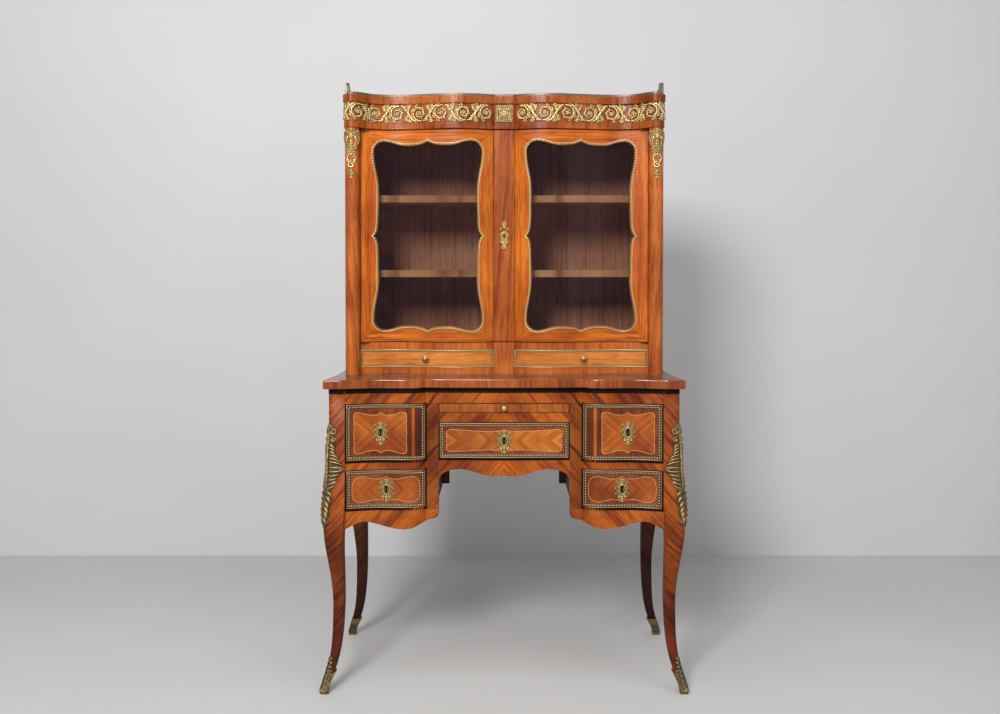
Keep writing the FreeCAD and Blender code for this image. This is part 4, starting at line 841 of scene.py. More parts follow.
def cartouche(box, look):
    # wavy outline with a cusp in the middle of its long sides
    (cx, cz), half, tall = middleOf(box), (box[1] - box[0]) / 2, (box[3] - box[2]) / 2
    dip, corner, waist = look["dip"], look["corner"], look["waist"]
    bendStart, sideStart = (half - corner, tall - dip * 0.1), (half - waist * 0.4, tall - corner)
    top = bezier((0, tall - dip * 0.1), (half * 0.10, tall - dip * 2.0), (half * 0.5, tall - dip * 0.9),
                 bendStart, 12)
    bend = bezier(bendStart, (half - corner * 0.2, tall), (half, tall - corner * 0.3), sideStart, 7)
    side = bezier(sideStart, (half - waist, tall * 0.4), (half - waist, tall * 0.2),
                  (half - waist * 0.3, 0), 6)
    points = []
    for flipU, flipV in ((1, 1), (1, -1), (-1, -1), (-1, 1)):
        part = [(cx + flipU * u, cz + flipV * v) for u, v in top + bend[1:] + side[1:]]
        if flipU * flipV < 0:
            part.reverse()
        points += part[1:] if points else part
    return points[:-1]


fieldLook = {"rings": 12, "proud": 0.1, "sunk": -0.4}


def veneerField(name, outline, centre, placeAt, material, body):
    # thin veneer panel inside the stringing, matched in four quarters about its centre
    bm, steps, (cx, cz) = bmesh.new(), fieldLook["rings"], centre
    layer = bm.loops.layers.uv.new("quarters")
    edges = []
    for out in (fieldLook["proud"], fieldLook["sunk"]):
        rings = [[bm.verts.new(placeAt(cx + (u - cx) * share, cz + (v - cz) * share, out))
                  for u, v in outline] for share in (1 - k / steps for k in range(steps))]
        middle = bm.verts.new(placeAt(cx, cz, out))
        for a, b in zip(rings, rings[1:]):
            loopFaces(bm, a, b)
        for a, b in zip(rings[-1], rings[-1][1:] + rings[-1][:1]):
            bm.faces.new((a, b, middle))
        edges.append(rings[0])
    loopFaces(bm, *edges)
    for face in bm.faces:
        for loop in face.loops:
            loop[layer].uv = (loop.vert.co.x - cx * mm, loop.vert.co.z - cz * mm)
    makePiece(name, bm, material, body, smooth=False)


def dressDeskDrawer(name, look):
    front, mounts = f"{name}_front", f"{name}_mounts"
    body, box, placeAt = bodyOf(front), boxOf(front), onFront(front)
    # a black band round the edge of the front: an ebonised edge, widened into painted shadow of the proud
    # drawer front
    stripPiece(f"{name}_shadow_margin", ring(box, deskShadowMargin["width"] / 2), deskShadowMargin["width"], deskShadowMargin["proud"],
               placeAt, woods["blackShadowWood"], body)
    lockCase = cadCopy(mounts, lambda low, high: 0.04 < high.x - low.x < 0.05)
    edgeTrim(name, inside(box, deskTrim["inset"]), deskTrim, deskBeads, metals["railBrass"], metals["edging"],
             placeAt, body, lockCase)
    escutcheon(f"{name}_escutcheon", placeAt, look["plate"], middleOf(box)[1] - deskShield["below"],
               deskShield, metals["shield"], body)
    field = inside(box, look["string"])
    outline = cartouche(field, look)
    veneerField(f"{name}_field", outline, middleOf(field), placeAt, woods[look["field"]], body)
    stripPiece(f"{name}_stringing", outline, stringLine["width"], stringLine["proud"], placeAt, stringing,
               body)
    paint([front], woods[look["banding"]])


upperLook = {"dip": 7, "corner": 12, "waist": 2, "field": "quarteredVeneer", "banding": "upperBanding"}
lowerLook = {"dip": 6, "corner": 26, "waist": -1, "field": "twinQuarteredVeneer", "banding": "lowerBanding",
             "string": (16, 16, 19, 16)}
deskDrawers = {
    "upper_left_drawer": dict(upperLook, plate=-302, string=(19, 46, 21, 20)),
    "upper_right_drawer": dict(upperLook, plate=302, string=(46, 19, 21, 20)),
    "lower_left_drawer": dict(lowerLook, plate=-288),
    "lower_right_drawer": dict(lowerLook, plate=288),
    "centre_drawer": {"plate": 0, "string": (17, 17, 20, 17), "dip": 5, "corner": 18, "waist": 5,
                      "field": "herringboneVeneer", "banding": "centreBanding"},
}
for drawerName, drawerLook in deskDrawers.items():
    dressDeskDrawer(drawerName, drawerLook)
print("desk drawers dressed")

slideProfile = [(0, 2.6), (3, 2.4), (5, 3.0), (6, 5.4), (8.5, 6.5), (11, 6.2), (13, 4.4), (13.9, 1.8),
                (14, 0.4)]
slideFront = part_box("slide_knob")[1].y / mm
knob("slide_pull_knob", (0, slideFront, middleOf(boxOf("slide_knob"))[1]), slideProfile, "slide",
     ["slide_knob"])

smallTrim = {"width": 5.4, "thick": 0.8, "rail": 1.6, "railProud": 1.8, "beads": 3.5}
smallBeads = {"Pitch": 6.6, "Bead Length": 4.4, "Bead Width": 2.8, "Relief": 4.0, "Slant": 40}
smallKnob = {"across": 202, "sunk": 0.6, "profile": [
    (0, 4.2), (4, 3.6), (7, 3.9), (8, 7.6), (10, 9.0), (13, 8.6), (15, 7.2), (15.6, 5.6), (16.4, 4.4),
    (17.6, 2.6), (18, 0.6)]}
for sign, hand in hands:
    drawer = f"{hand}_small_drawer"
    box, placeAt = boxOf(f"{drawer}_front"), onFront(f"{drawer}_front")
    edgeTrim(drawer, box, smallTrim, smallBeads, metals["doorGilt"], metals["doorGilt"], placeAt, drawer,
             bmesh.new())
    across, middle = sign * smallKnob["across"], middleOf(box)[1]
    front = placeAt(across, middle, 0).y / mm + smallKnob["sunk"]
    knob(f"{drawer}_knob", (across, front, middle), smallKnob["profile"], drawer)
print("small drawers dressed")


pane = {"left": 58, "right": 332.8, "low": 872, "high": 1353, "points": 220}
# where the search for the pane's edge starts and ends, as shares of its half width and height
search = {"near": 0.6, "across": 1.2, "up": 1.1, "halvings": 16}
doorTrim = {"width": 5.6, "proud": 0.9, "out": 2.8, "rail": 1.6, "railOut": 5.2, "railProud": 1.8,
            "beadsOut": 2.4}
doorBeads = {"Pitch": 7.0, "Bead Length": 5.0, "Bead Width": 3.2, "Relief": 4.6, "Slant": 42}


def paneOutline(frameNode, sign, outside):
    # rays from the middle of the pane find where the frame's opening ends; outside moves the line outwards
    tree, edge = surface(frameNode), []
    cx, cz = sign * (pane["left"] + pane["right"]) / 2, (pane["low"] + pane["high"]) / 2
    halfU, halfV = (pane["right"] - pane["left"]) / 2, (pane["high"] - pane["low"]) / 2
    for k in range(pane["points"]):
        a = 2 * math.pi * k / pane["points"]
        u, v = math.cos(a), math.sin(a)
        low = search["near"]
        high = min(search["across"] / max(abs(u), 0.01), search["up"] / max(abs(v), 0.01))
        for _ in range(search["halvings"]):
            share = (low + high) / 2
            if frontAt(tree, cx + u * halfU * share, cz + v * halfV * share):
                high = share
            else:
                low = share
        edge.append((cx + u * halfU * high, cz + v * halfV * high))
    moved = []
    for k, (u, v) in enumerate(edge):
        (u0, v0), (u1, v1) = edge[k - 3], edge[(k + 3) % len(edge)]
        size = math.dist((u0, v0), (u1, v1))
        moved.append((u + (v1 - v0) / size * outside, v - (u1 - u0) / size * outside))
    return moved


for sign, hand in hands:
    mounts, frameNode, body = f"{hand}_door_mounts", f"{hand}_door_frame", f"{hand}_door"
    placeAt = onFront(frameNode)
    pivots = cadCopy(mounts, lambda low, high: high.z - low.z < 0.004)
    line = paneOutline(frameNode, sign, doorTrim["out"])
    band(pivots, line, doorTrim["width"], doorTrim["proud"], placeAt, closed=True)
    makePiece(f"{hand}_door_trim", pivots, metals["darkBronze"], body, [mounts], smooth=False)
    line = paneOutline(frameNode, sign, doorTrim["railOut"])
    stripPiece(f"{hand}_door_rail", line, doorTrim["rail"], doorTrim["railProud"], placeAt,
               metals["doorGilt"], body, smooth=True)
    line = paneOutline(frameNode, sign, doorTrim["beadsOut"])
    edging(f"{hand}_door_gadroons", [placeAt(u, v, doorTrim["proud"]) for u, v in line], doorBeads,
           metals["doorGilt"], body)

stileShield = {"halfWidth": 13, "halfHeight": 37, "oval": (5.2, 10.0), "keyUp": -3, "cell": 0.6, "bow": 2.6,
               "slot": 1.4, "drop": 7}
escutcheon("door_escutcheon", onFront("meeting_stile"), 0, 1114, stileShield, metals["lockGilt"],
           "right_door")
print("doors dressed")


# rays meet the frieze every 3 mm from the front and every 5 degrees round the axis of its corner,
# and three points follow along its side
plan = {"first": 27, "last": 372, "every": 3, "axis": (372, -62), "turn": 5, "side": (-40, -20, 0)}


def outlineOf(node, up):
    # outer plan of the right half of a node, from the middle block round the corner to the side
    tree = surface(node)
    hits = [frontAt(tree, x, up) for x in range(plan["first"], plan["last"], plan["every"])]
    centre = Vector((*plan["axis"], up)) * mm
    for degrees in range(-90, 1, plan["turn"]):
        a = math.radians(degrees)
        way = Vector((math.cos(a), math.sin(a), 0))
        hits.append(tree.ray_cast(centre + way, -way)[0])
    points = [(hit.x / mm, hit.y / mm) for hit in hits]
    return points + [(points[-1][0], y) for y in plan["side"]]


def alongOutline(points, side):
    # maps (along, up, out) to a point over that plan, mirrored for the left half
    lengths = [lengthOf(points[:end]) for end in range(1, len(points) + 1)]

    def placeAt(along, up, out):
        along = min(max(along, 0.0), lengths[-1] - 0.01)
        i = next(i for i, length in enumerate(lengths[1:]) if length >= along)
        t = (along - lengths[i]) / (lengths[i + 1] - lengths[i])
        a, b = points[i], points[i + 1]
        before, after = points[max(i - 1, 0)], points[min(i + 2, len(points) - 1)]
        du, dv = after[0] - before[0], after[1] - before[1]
        size = math.hypot(du, dv)
        x = a[0] + (b[0] - a[0]) * t + dv / size * out
        y = a[1] + (b[1] - a[1]) * t - du / size * out
        return Vector((side * x * mm, y * mm, up * mm))
    return placeAt, lengths[-1]


scroll = {"pitch": 58, "radius": 19.6, "heart": 7, "turns": 1.35, "first": 22, "count": 8, "relief": 5.4,
          "reach": 23, "cell": 0.7, "whorlWidth": (6.2, 5.0, 2.6), "stemWidth": (4.4, 6.4, 4.4),
          "stemReach": (19, 6, 0.8), "flower": 6.0, "bud": 3.6}
# leaves outside and inside the whorl: lean, length, width, bend
whorlLeaves = {"outside": (34, 15, 9, 46), "inside": (-40, 12, 7, -60)}
# leaves at the crests of the stems: angle, length, width, bend, share of the relief
stemLeaves = ((28, 19, 10, 62, 1.05), (116, 20, 10, -30, 1))


def friezeScrolls(relief, up):
    # running scroll: a wave of stems, a whorl with a flower in each bend, leaves into every corner
    h, pitch, reach = scroll["relief"], scroll["pitch"], scroll["reach"]
    for i in range(scroll["count"]):
        way = 1 if i % 2 else -1
        cx = scroll["first"] + i * pitch
        whorl = spiral((cx, up), scroll["radius"], scroll["heart"], -100 * way, scroll["turns"] * way, 60)
        stroke(relief, whorl, scroll["whorlWidth"], (h * 0.85, h * 0.8, h * 0.55))
        for k in range(7):
            lean, length, width, bend = whorlLeaves["outside" if k < 4 else "inside"]
            root, (du, dv) = pointOn(whorl, 0.04 + 0.115 * k)
            angle = math.degrees(math.atan2(dv, du)) - way * lean
            leaf(relief, root, angle, length, width, way * bend, h * (0.85 + k % 3 * 0.08), 3)
        rosette(relief, cx, up, scroll["flower"], h * 1.05, 5)
        if i == scroll["count"] - 1:
            break
        middle, crest, (far, near, share) = cx + pitch / 2, way * reach, scroll["stemReach"]
        stem = bezier((middle - far, up - crest * share), (middle - near, up - crest),
                      (middle + near, up + crest), (middle + far, up + crest * share), 20)
        stroke(relief, stem, scroll["stemWidth"], (h * 0.8, h * 1.1, h * 0.8))
        for turn in (-1, 1):
            facing, root = turn * way, (middle + turn * 2, up + turn * way * 4)
            for angle, length, width, bend, share in stemLeaves:
                leaf(relief, root, facing * angle, length, width, facing * bend, h * share, 4)
            leaf(relief, (middle - turn * 8, up + facing * 19), 90 * (1 - turn) + 12 * facing, 13, 8,
                 -facing * 40, h * 0.9, 3)
        rosette(relief, middle, up, scroll["bud"], h * 1.2, 4)


friezeLow, friezeHigh = boxOf("frieze")[2:]
friezeMiddle = (friezeLow + friezeHigh) / 2
friezeLine = outlineOf("frieze", friezeMiddle)
for sign, hand in hands:
    placeAt, length = alongOutline(friezeLine, sign)
    relief = newRelief(1, length - 2, friezeLow + 0.4, friezeHigh - 0.4, scroll["cell"])
    friezeScrolls(relief, friezeMiddle)
    castRelief(f"{hand}_frieze_scrolls", relief, placeAt, metals["gilt"], "carcass",
               ["frieze_mounts"] if sign < 0 else [])

plaque = {"half": 24.5, "beadsAt": 20.3, "beadPitch": 4.5, "bead": (2.1, 3.4), "lineAt": 17,
          "cornerLeaf": (20, 13), "sideLeaf": (14, 9), "curl": (11.5, 5), "relief": 4.0, "cell": 0.6}
relief = newRelief(-plaque["half"], plaque["half"], friezeLow + 1, friezeHigh - 1, plaque["cell"])


def onPlaque(quarter, out, along):
    # a point out from the middle towards one side and along that side
    u, v = ((1, 0), (0, 1), (-1, 0), (0, -1))[quarter]
    return u * out - v * along, friezeMiddle + v * out + u * along


for quarter in range(4):
    for k in range(-4, 5):
        press(relief, *onPlaque(quarter, plaque["beadsAt"], plaque["beadPitch"] * k), *plaque["bead"])
    line = [onPlaque(quarter, plaque["lineAt"], end * plaque["lineAt"]) for end in (-1, 1)]
    stroke(relief, line, (2.2,) * 3, (2.8,) * 3)
    leaf(relief, (0, friezeMiddle), 90 * quarter + 45, *plaque["cornerLeaf"], 0, plaque["relief"])
    leaf(relief, (0, friezeMiddle), 90 * quarter, *plaque["sideLeaf"], 0, plaque["relief"])
    out, along = plaque["curl"]
    curl = spiral(onPlaque(quarter, out, -along), 3.8, 1.2, 90 * quarter + 150, 0.9, 14)
    stroke(relief, curl, (2, 2.4, 1.8), (2.6, 3, 2.4))
rosette(relief, 0, friezeMiddle, 6.5, 5.5, 6)
castRelief("frieze_plaque", relief, onFront("frieze"), metals["gilt"], "carcass")

cornerMount = {"radius": 17.85, "centre": 384.85, "front": -77, "top": 1384, "half": 25, "height": 129,
               "cell": 0.7}
# leaves of one half: root, angle from straight down, length, width, bend, height, lobes
cornerLeaves = ((19, -8, 0, 44, 9.5, -24, 3.6, 6), (16, -30, -12, 36, 9, -12, 3.4, 5),
                (8, -44, -38, 26, 7.5, 50, 3.2, 4), (4, -72, 42, 22, 7, -70, 3.2, 3),
                (2, -112, 52, 10, 6, -30, 3.0, 2))
# stems of one half: four points, widths, heights
cornerStems = ((((4, -66), (12, -76), (10, -84), (4, -88)), (3, 3.8, 2.8), (3, 3.6, 3)),
               (((18, -8), (25, -20), (22, -34), (15, -44)), (2.6, 3.2, 2.6), (3, 3.4, 3)))
relief = newRelief(-cornerMount["half"], cornerMount["half"], -cornerMount["height"], 0, cornerMount["cell"])
for k in range(-3, 4):  # palmette under the moulding
    leaf(relief, (0, -20), 90 + k * 34, 17, 6.5, k * -6, 3.4)
for side in (-1, 1):
    stroke(relief, spiral((side * 12, -25), 6.5, 1.6, 90, side * -1.3, 24), (3, 4.2, 2.4), (3.0, 3.8, 2.8))
    for u, v, angle, length, width, bend, height, lobes in cornerLeaves:
        leaf(relief, (side * u, v), -90 + side * angle, length, width, side * bend, height, lobes)
    for path, widths, heights in cornerStems:
        stroke(relief, bezier(*[(side * u, v) for u, v in path], 12), widths, heights)
stroke(relief, spiral((0, -94), 8.6, 2.0, 90, 1.3, 34), (3.2, 4.0, 2.6), (3.2, 3.8, 3.0))
leaf(relief, (0, -30), -90, 26, 8, 0, 3.4, 4)
leaf(relief, (0, -108), -90, 20, 8, 0, 3.4, 3)
rosette(relief, 0, -22, 5.5, 5.0)
press(relief, 0, -108, 2.6, 4.2)
press(relief, 0, -68, 3.0, 4.2)


def onCorner(sign):
    # maps (round, up, out) to a point over the rounded corner of the cabinet
    def placeAt(u, v, out):
        a, reach = u / cornerMount["radius"], cornerMount["radius"] + out
        return Vector((sign * cornerMount["centre"] + reach * math.sin(a),
                       cornerMount["front"] - reach * math.cos(a), cornerMount["top"] + v)) * mm
    return placeAt


for sign, hand in hands:
    castRelief(f"{hand}_corner_mount", relief, onCorner(sign), metals["gilt"], "carcass",
               ["corner_mounts"] if sign < 0 else [])
print("cabinet mounts made")

# where the legs run into their stiles, in metres; the crease is in degrees
stile = {"inner": 0.386, "depth": 0.179, "low": 0.566, "high": 0.632, "drift": 0.0033, "crease": 32}
legMeshes = {}


def makeLeg(end, sign, hand):
    # leg in one sweep: where it meets its stile it keeps the line of the drawers
    name, front = f"{end}_{hand}_leg", end == "front"
    leg = cadCopy(name)
    for vert in leg.verts:
        share = (vert.co.z - stile["low"]) / (stile["high"] - stile["low"])
        if front and 0 < share < 1:
            back = stile["drift"] * math.sin(math.pi * share)
            vert.co.x = sign * max(abs(vert.co.x) - back, min(abs(vert.co.x), stile["inner"]))
            vert.co.y = -max(abs(vert.co.y) - back, min(abs(vert.co.y), stile["depth"]))
    finish = woods["legVeneer" if front else "shadedBackLegVeneer"]
    piece = makePiece(f"{name}_veneered", leg, finish, "carcass", [name])
    piece.data.set_sharp_from_angle(angle=math.radians(stile["crease"]))
    legMeshes[end, sign] = piece.data


for leg in legs:
    makeLeg(*leg)


# how a casting is wrapped round a leg: radius of the bend, height of a row, ends of the leg, in mm
wrap = {"radius": 12.0, "row": 4, "low": 6, "high": 737, "away": 150}


def roundLeg(end, sign):
    # maps (round, up, out): round is measured in mm from the outer corner, negative on the side face
    leg, radius, facing, rows = legMeshes[end, sign], wrap["radius"], -1 if end == "front" else 1, {}
    tree = treeOf(leg)
    spans = [[leg.vertices[index].co for index in edge.vertices] for edge in leg.edges]

    def cornerAt(up):
        if up not in rows:  # the leg's outer corner, from the edges of its mesh that cross this height
            level = min(max(up, wrap["low"]), wrap["high"]) * mm
            cuts = [a.lerp(b, (level - a.z) / (b.z - a.z)) for a, b in spans
                    if (a.z - level) * (b.z - level) < 0]
            far = max(cuts, key=lambda co: co.x * sign + co.y * facing)
            rows[up] = Vector((far.x - sign * radius * mm, far.y - facing * radius * mm, 0))
        return rows[up]

    def placeAt(u, up, out):
        row, bend = wrap["row"], radius * math.pi / 4
        below = math.floor(up / row) * row
        centre = cornerAt(below).lerp(cornerAt(below + row), (up - below) / row)
        centre.z = up * mm
        a = math.pi / 4 * (1 + max(-1, min(1, u / bend)))
        way = Vector((sign * math.sin(a), facing * math.cos(a), 0))
        beyond = max(abs(u) - bend, 0) * mm
        centre += Vector((-sign, 0, 0)) * beyond if u < 0 else Vector((0, -facing, 0)) * beyond
        hit = tree.ray_cast(centre + way * wrap["away"] * mm, -way)[0]
        return (hit if hit else centre) + way * out * mm
    return placeAt


# half width of the knee mount at heights up the leg
kneeShape = [(404, 2), (418, 5), (435, 7), (458, 8), (465, 12), (479, 14), (488, 10), (500, 9), (509, 18),
             (519, 19), (530, 25), (537, 32), (542, 35), (554, 33), (565, 26), (575, 16), (587, 12),
             (605, 11), (615, 14), (625, 10), (634, 12), (644, 8), (652, 2)]
kneeMount = {"half": 37, "low": 402, "high": 654, "cell": 0.8, "edge": 1.8, "dome": 2.4, "lobe": 7.5,
             "lobeDepth": 0.12}
# plumes of one half: first and last root on the stem, first and last tip on the outline, how many
kneeFans = [(604, 562, 592, 552, 6), (548, 498, 548, 508, 6), (490, 432, 476, 412, 6)]
# scrolls of one half: across, up, first and last radius, lean, turns, points, widths and heights
kneeScrolls = [(6.5, 634, 7.5, 1.6, 20, -1.15, 26, (3.6, 5, 3), (5, 7, 6)),
               (8.5, 615, 5, 1.4, -30, -1.0, 20, (3.2, 4.4, 3), (5, 6.6, 5.6)),
               (29, 545, 5.6, 1.4, -50, -1.1, 22, (3, 3.8, 2.6), (6, 8, 6.4)),
               (15, 513, 4.2, 1.2, -50, -1.1, 18, (2.6, 3.4, 2.4), (5.4, 7, 6))]
relief = newRelief(-kneeMount["half"], kneeMount["half"], kneeMount["low"], kneeMount["high"],
                   kneeMount["cell"])
levels, halves = zip(*kneeShape)
lobes = np.abs(np.sin(np.pi * relief["v"] / kneeMount["lobe"]))
lobed = np.interp(relief["v"], levels, halves) * (1 - kneeMount["lobeDepth"] * (1 - lobes))
share = 1 - (relief["u"][:, None] / lobed[None, :]) ** 2
dome = kneeMount["edge"] + kneeMount["dome"] * np.sqrt(np.maximum(share, 0))
relief["rise"] = np.where(share > 0, dome, 0.0)
for side in (-1, 1):
    for across, up, start, end, lean, turns, count, widths, heights in kneeScrolls:
        curl = spiral((side * across, up), start, end, 90 + side * lean, side * turns, count)
        stroke(relief, curl, widths, heights)
    for firstRoot, lastRoot, firstTip, lastTip, count in kneeFans:
        for root, tip in zip(np.linspace(firstRoot, lastRoot, count), np.linspace(firstTip, lastTip, count)):
            reach = side * float(np.interp(tip, levels, halves)) * 0.96
            plume = bezier((side * 2, root), (reach * 0.45, root), (reach * 0.85, tip + (root - tip) * 0.55),
                           (reach, tip))
            stroke(relief, plume, (3.4, 5.6, 2.6), (5.0, 7.4, 4.2))
stroke(relief, [(0, 648), (0, 600), (0, 500)], (6, 9, 7), (6.0, 7.0, 6.0))
acanthus(relief, [(0, 504), (0, 406)], 11, 6.4, 5)
for side in (-1, 1):  # long flutes chased down the stem
    flute = bezier((side * 2.6, 604), (side * 3.2, 570), (side * 3.2, 540), (side * 2.4, 504))
    stroke(relief, flute, (1.6, 2.0, 1.4), (1.6, 2.0, 1.4), cut=True)
for sign, hand in hands:
    castRelief(f"{hand}_knee_mount", relief, roundLeg("front", sign), metals["bronze"], "carcass",
               ["knee_mounts"] if sign < 0 else [])

# shoes: a casting round the foot, a leaf up its outer corner and a scroll at the toe
shoe = {"top": 50, "leafTop": 86, "inset": 2.6, "rounding": 6.0, "splay": 0.28, "cell": 0.9,
        "middle": {"front": (0.437, 0.2305), "back": (0.428, 0.2305)}}  # of the feet, in metres
shoes = cadCopy("sabots")
cut = bmesh.ops.bisect_plane(shoes, geom=shoes.verts[:] + shoes.edges[:] + shoes.faces[:], clear_outer=True,
                             plane_co=(0, 0, shoe["top"] * mm), plane_no=(0, 0, 1))
rims = [part for part in cut["geom_cut"] if isinstance(part, bmesh.types.BMEdge)]
bmesh.ops.holes_fill(shoes, edges=rims)
bmesh.ops.dissolve_limit(shoes, angle_limit=math.radians(2), verts=shoes.verts, edges=shoes.edges)
for vert in shoes.verts:  # drawn in, so that the leaves stay within the width of the foot
    for axis, middle in enumerate(shoe["middle"]["front" if vert.co.y < 0 else "back"]):
        away = abs(vert.co[axis]) - middle + shoe["splay"] * vert.co.z
        drawn = math.copysign(min(shoe["inset"] * mm, abs(away)), away)
        vert.co[axis] -= math.copysign(1, vert.co[axis]) * drawn
shoePiece = makePiece("bronze_shoes", shoes, metals["shoe"], "carcass", ["sabots"], smooth=False)
bevelEdges(shoePiece, shoe["rounding"], 4, 35)
relief = newRelief(-15, 15, 3, shoe["leafTop"], shoe["cell"])
leaf(relief, (0, 14), 90, shoe["leafTop"] - 16, 12, 0, 3.4, 7)
for side in (-1, 1):
    leaf(relief, (side * 3, 12), 90 - side * 10, 44, 11, side * 12, 3.2, 5)
    leaf(relief, (side * 7, 10), 90 - side * 22, 32, 10, side * 20, 3.0, 4)
    stroke(relief, spiral((side * 6.5, 11), 5.5, 1.4, 90, side * 1.1, 20), (3, 4, 2.6), (3, 4, 3))
press(relief, 0, 10, 6.0, 4.0)
for end, sign, hand in legs:
    castRelief(f"{end}_{hand}_shoe_leaves", relief, roundLeg(end, sign), metals["footBronze"], "carcass")
print("leg mounts made")

carriedOver = {
    "carcassVeneer": ["front_top_rail", "drawer_rails", "kneehole_apron", "pedestal_aprons"],
    "kneeholeVeneer": ["kneehole_stiles"],
    "sideVeneer": ["desk_sides"],
    "insideWood": ["cabinet_back", "cabinet_boards"],
    "kneeholeShadeWood": ["desk_back", "kneehole_walls"],
    "drawerWood": ["dust_boards"] + [name for name in nodes if name.endswith("_box")],
    "slideVeneer": ["writing_slide"],
    "stileVeneer": ["left_corner_stile", "right_corner_stile", "cabinet_rails"],
    "meetingVeneer": ["meeting_stile"],
    "cabinetSideVeneer": ["cabinet_sides"],
    "doorVeneer": ["left_door_frame", "right_door_frame"],
    "shelfWood": ["shelves"],
    "mouldingVeneer": ["frieze"],
    "smallDrawerVeneer": ["left_small_drawer_front", "right_small_drawer_front"],
}
for finish, names in carriedOver.items():
    paint(names, woods[finish])
paint(["left_door_glass", "right_door_glass"], glass)
paint(["door_pivots"], metals["darkBronze"])
eased("gallery", "bronze_gallery", metals["galleryBronze"], 2.2, 2)
eased("desk_top", "top_board", woods["topVeneer"], 3.5, 3)
eased("cornice", "cornice_moulding", woods["mouldingVeneer"], 3.0, 3)
eased("lower_moulding", "frieze_moulding", woods["mouldingVeneer"], 2.5, 3)

# painted shadow: a black strip under the desk top, where its overhang shades the rail and the legs, and a
# black gap round the writing slide
underTopShadow = {"low": 724.5, "high": 737.6, "proud": 0.5, "across": range(-386, 387, 4),
          "round": range(-34, 37, 2)}
slideShadowGap = {"width": 1.4, "proud": 0.12}
black = woods["blackShadowWood"]
middle, width = (underTopShadow["low"] + underTopShadow["high"]) / 2, underTopShadow["high"] - underTopShadow["low"]
stripPiece("front_top_shadow", [(x, middle) for x in underTopShadow["across"]], width, underTopShadow["proud"],
           onFront("front_top_rail"), black, "carcass", closed=False)
for sign, hand in hands:
    stripPiece(f"{hand}_leg_top_shadow", [(u, middle) for u in underTopShadow["round"]], width, underTopShadow["proud"],
               roundLeg("front", sign), black, "carcass", closed=False)
stripPiece("slide_shadow_gap", ring(boxOf("writing_slide"), slideShadowGap["width"] / 2), slideShadowGap["width"],
           slideShadowGap["proud"], onFront("writing_slide"), black, "slide")

# bronze strip along the front of the cornice and the curled feet of the gallery's ends
strip = {"low": 1467.8, "high": 1473.4, "inset": 3.0, "thick": 2.4, "across": range(-396, 397, 4),
         "line": 1460, "curls": (-82, -76)}
curl = ([(402, 1468), (389, 1468)] + bezier((389, 1470), (394, 1471.5), (396, 1476), (396.4, 1487), 8)
        + bezier((396.4, 1492), (397, 1500.5), (402, 1500.5), (402.4, 1492), 8))
section = ((0, strip["low"]), (strip["thick"], strip["low"]), (strip["thick"], strip["high"]),
           (0, strip["high"]))
line, cornicePlace = bmesh.new(), onFront("cornice")
fronts = [(x * mm, cornicePlace(x, strip["line"], -strip["inset"]).y) for x in strip["across"]]
tube(line, [[line.verts.new((x, front + back * mm, up * mm)) for back, up in section] for x, front in fronts])
for sign in (-1, 1):
    tube(line, [[line.verts.new((sign * x * mm, y * mm, up * mm)) for x, up in curl]
                for y in strip["curls"]])
makePiece("cornice_strip", line, metals["galleryBronze"], "carcass", smooth=False)
print("wood finished")


studio = {"wall": "#CECECF", "floor": "#C5C4C3", "wallBehind": 1.124, "reach": 6.0, "height": 4.5}


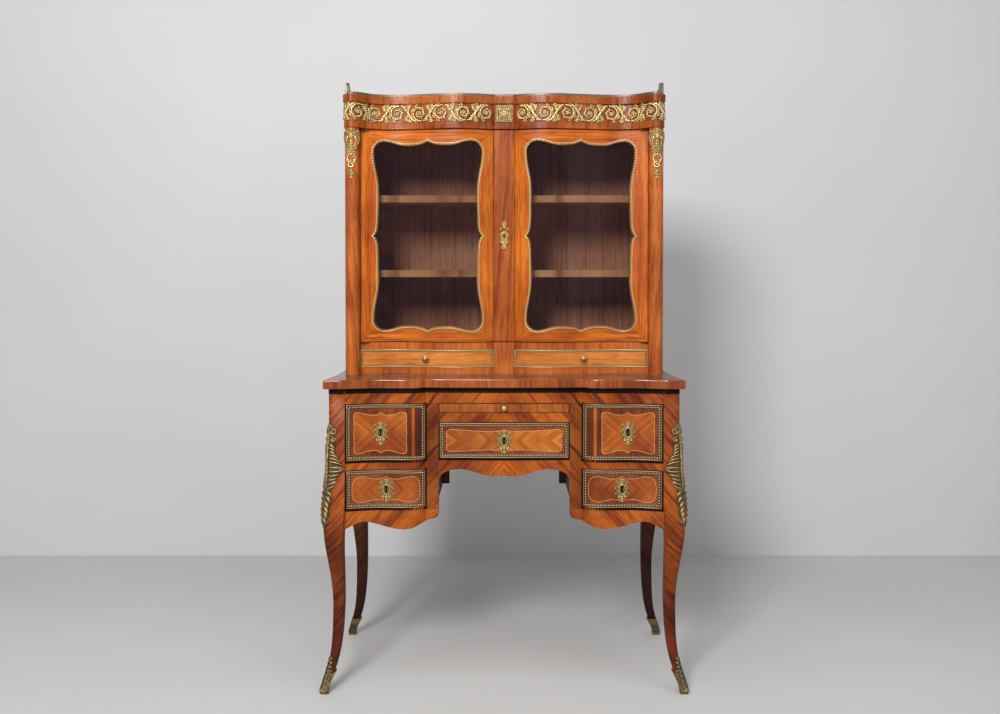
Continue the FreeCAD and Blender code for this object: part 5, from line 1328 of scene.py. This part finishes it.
def stagePlane(name, corners, code):
    # painted wall or floor, seen through from behind and from below
    data = bpy.data.meshes.new(name)
    data.from_pydata(corners, [], [(0, 1, 2, 3)])
    plane = bpy.data.objects.new(name, data)
    bpy.context.scene.collection.objects.link(plane)
    material, tree, shader, place = newMaterial(name)
    cloud = addNode(tree, "ShaderNodeTexNoise", {"Vector": place, "Scale": 1.5, "Detail": 2.0})
    shade = addNode(tree, "ShaderNodeValToRGB", {"Fac": cloud}, stops=((0.3, "#FAFAFA"), (0.7, "#FFFFFF")))
    behind = addNode(tree, "ShaderNodeNewGeometry", output="Backfacing")
    fill(shader, {
        "Base Color": addNode(tree, "ShaderNodeMix", {
            "Factor": 1.0, "A": toLinear(code), "B": shade}, **multiplied), "Roughness": 0.6,
        "Alpha": addNode(tree, "ShaderNodeMath", {0: 1.0, 1: behind}, operation="SUBTRACT")})
    data.materials.append(material)


side, back, top = studio["reach"], studio["wallBehind"], studio["height"]
stagePlane("studioFloor", [(-side, -side, 0), (side, -side, 0), (side, back, 0), (-side, back, 0)],
           studio["floor"])
stagePlane("studioWall", [(-side, back, 0), (side, back, 0), (side, back, top), (-side, back, top)],
           studio["wall"])


def areaLamp(name, place, target, size, power):
    light = bpy.data.lights.new(name, "AREA")
    light.shape = "RECTANGLE"
    light.size, light.size_y = size
    light.energy = power
    lamp = bpy.data.objects.new(name, light)
    lamp.location = place
    lamp.rotation_euler = (Vector(target) - Vector(place)).to_track_quat("-Z", "Y").to_euler()
    bpy.context.scene.collection.objects.link(lamp)


# where each lamp stands, what it lights, its size in metres and its power
lamps = {
    "keyLamp": ((-0.95, -3.7, 2.75), (0, 0, 0.85), (1.0, 1.0), 160),
    "fillLamp": ((2.8, -3.0, 1.8), (0, 0, 0.8), (2.5, 2.0), 16),
    "ceilingLamp": ((0, -1.5, 3.3), (0, -1.1, 0), (3.4, 2.0), 46),
}
for name, lamp in lamps.items():
    areaLamp(name, *lamp)
daylight = {"colour": "#E6E6E6", "strength": 0.29}
world = bpy.data.worlds.new("studioLight")
bpy.context.scene.world = world
world.use_nodes = True
background = world.node_tree.nodes["Background"].inputs
background["Color"].default_value = toLinear(daylight["colour"])
background["Strength"].default_value = daylight["strength"]

lens = {"focal": 41.72, "across": 0.0, "depth": -3.0163, "height": 1.0241, "tilt": 1.313,
        "shiftX": -0.0042, "shiftY": -0.06}
cameraData = bpy.data.cameras.new("camera")
cameraData.lens = lens["focal"]
cameraData.shift_x, cameraData.shift_y = lens["shiftX"], lens["shiftY"]
camera = bpy.data.objects.new("camera", cameraData)
camera.location = (lens["across"], lens["depth"], lens["height"])
camera.rotation_euler = (math.radians(90 - lens["tilt"]), 0, 0)
bpy.context.scene.collection.objects.link(camera)
bpy.context.scene.camera = camera
bpy.context.scene.view_settings.view_transform = "Standard"
print("studio and camera set")
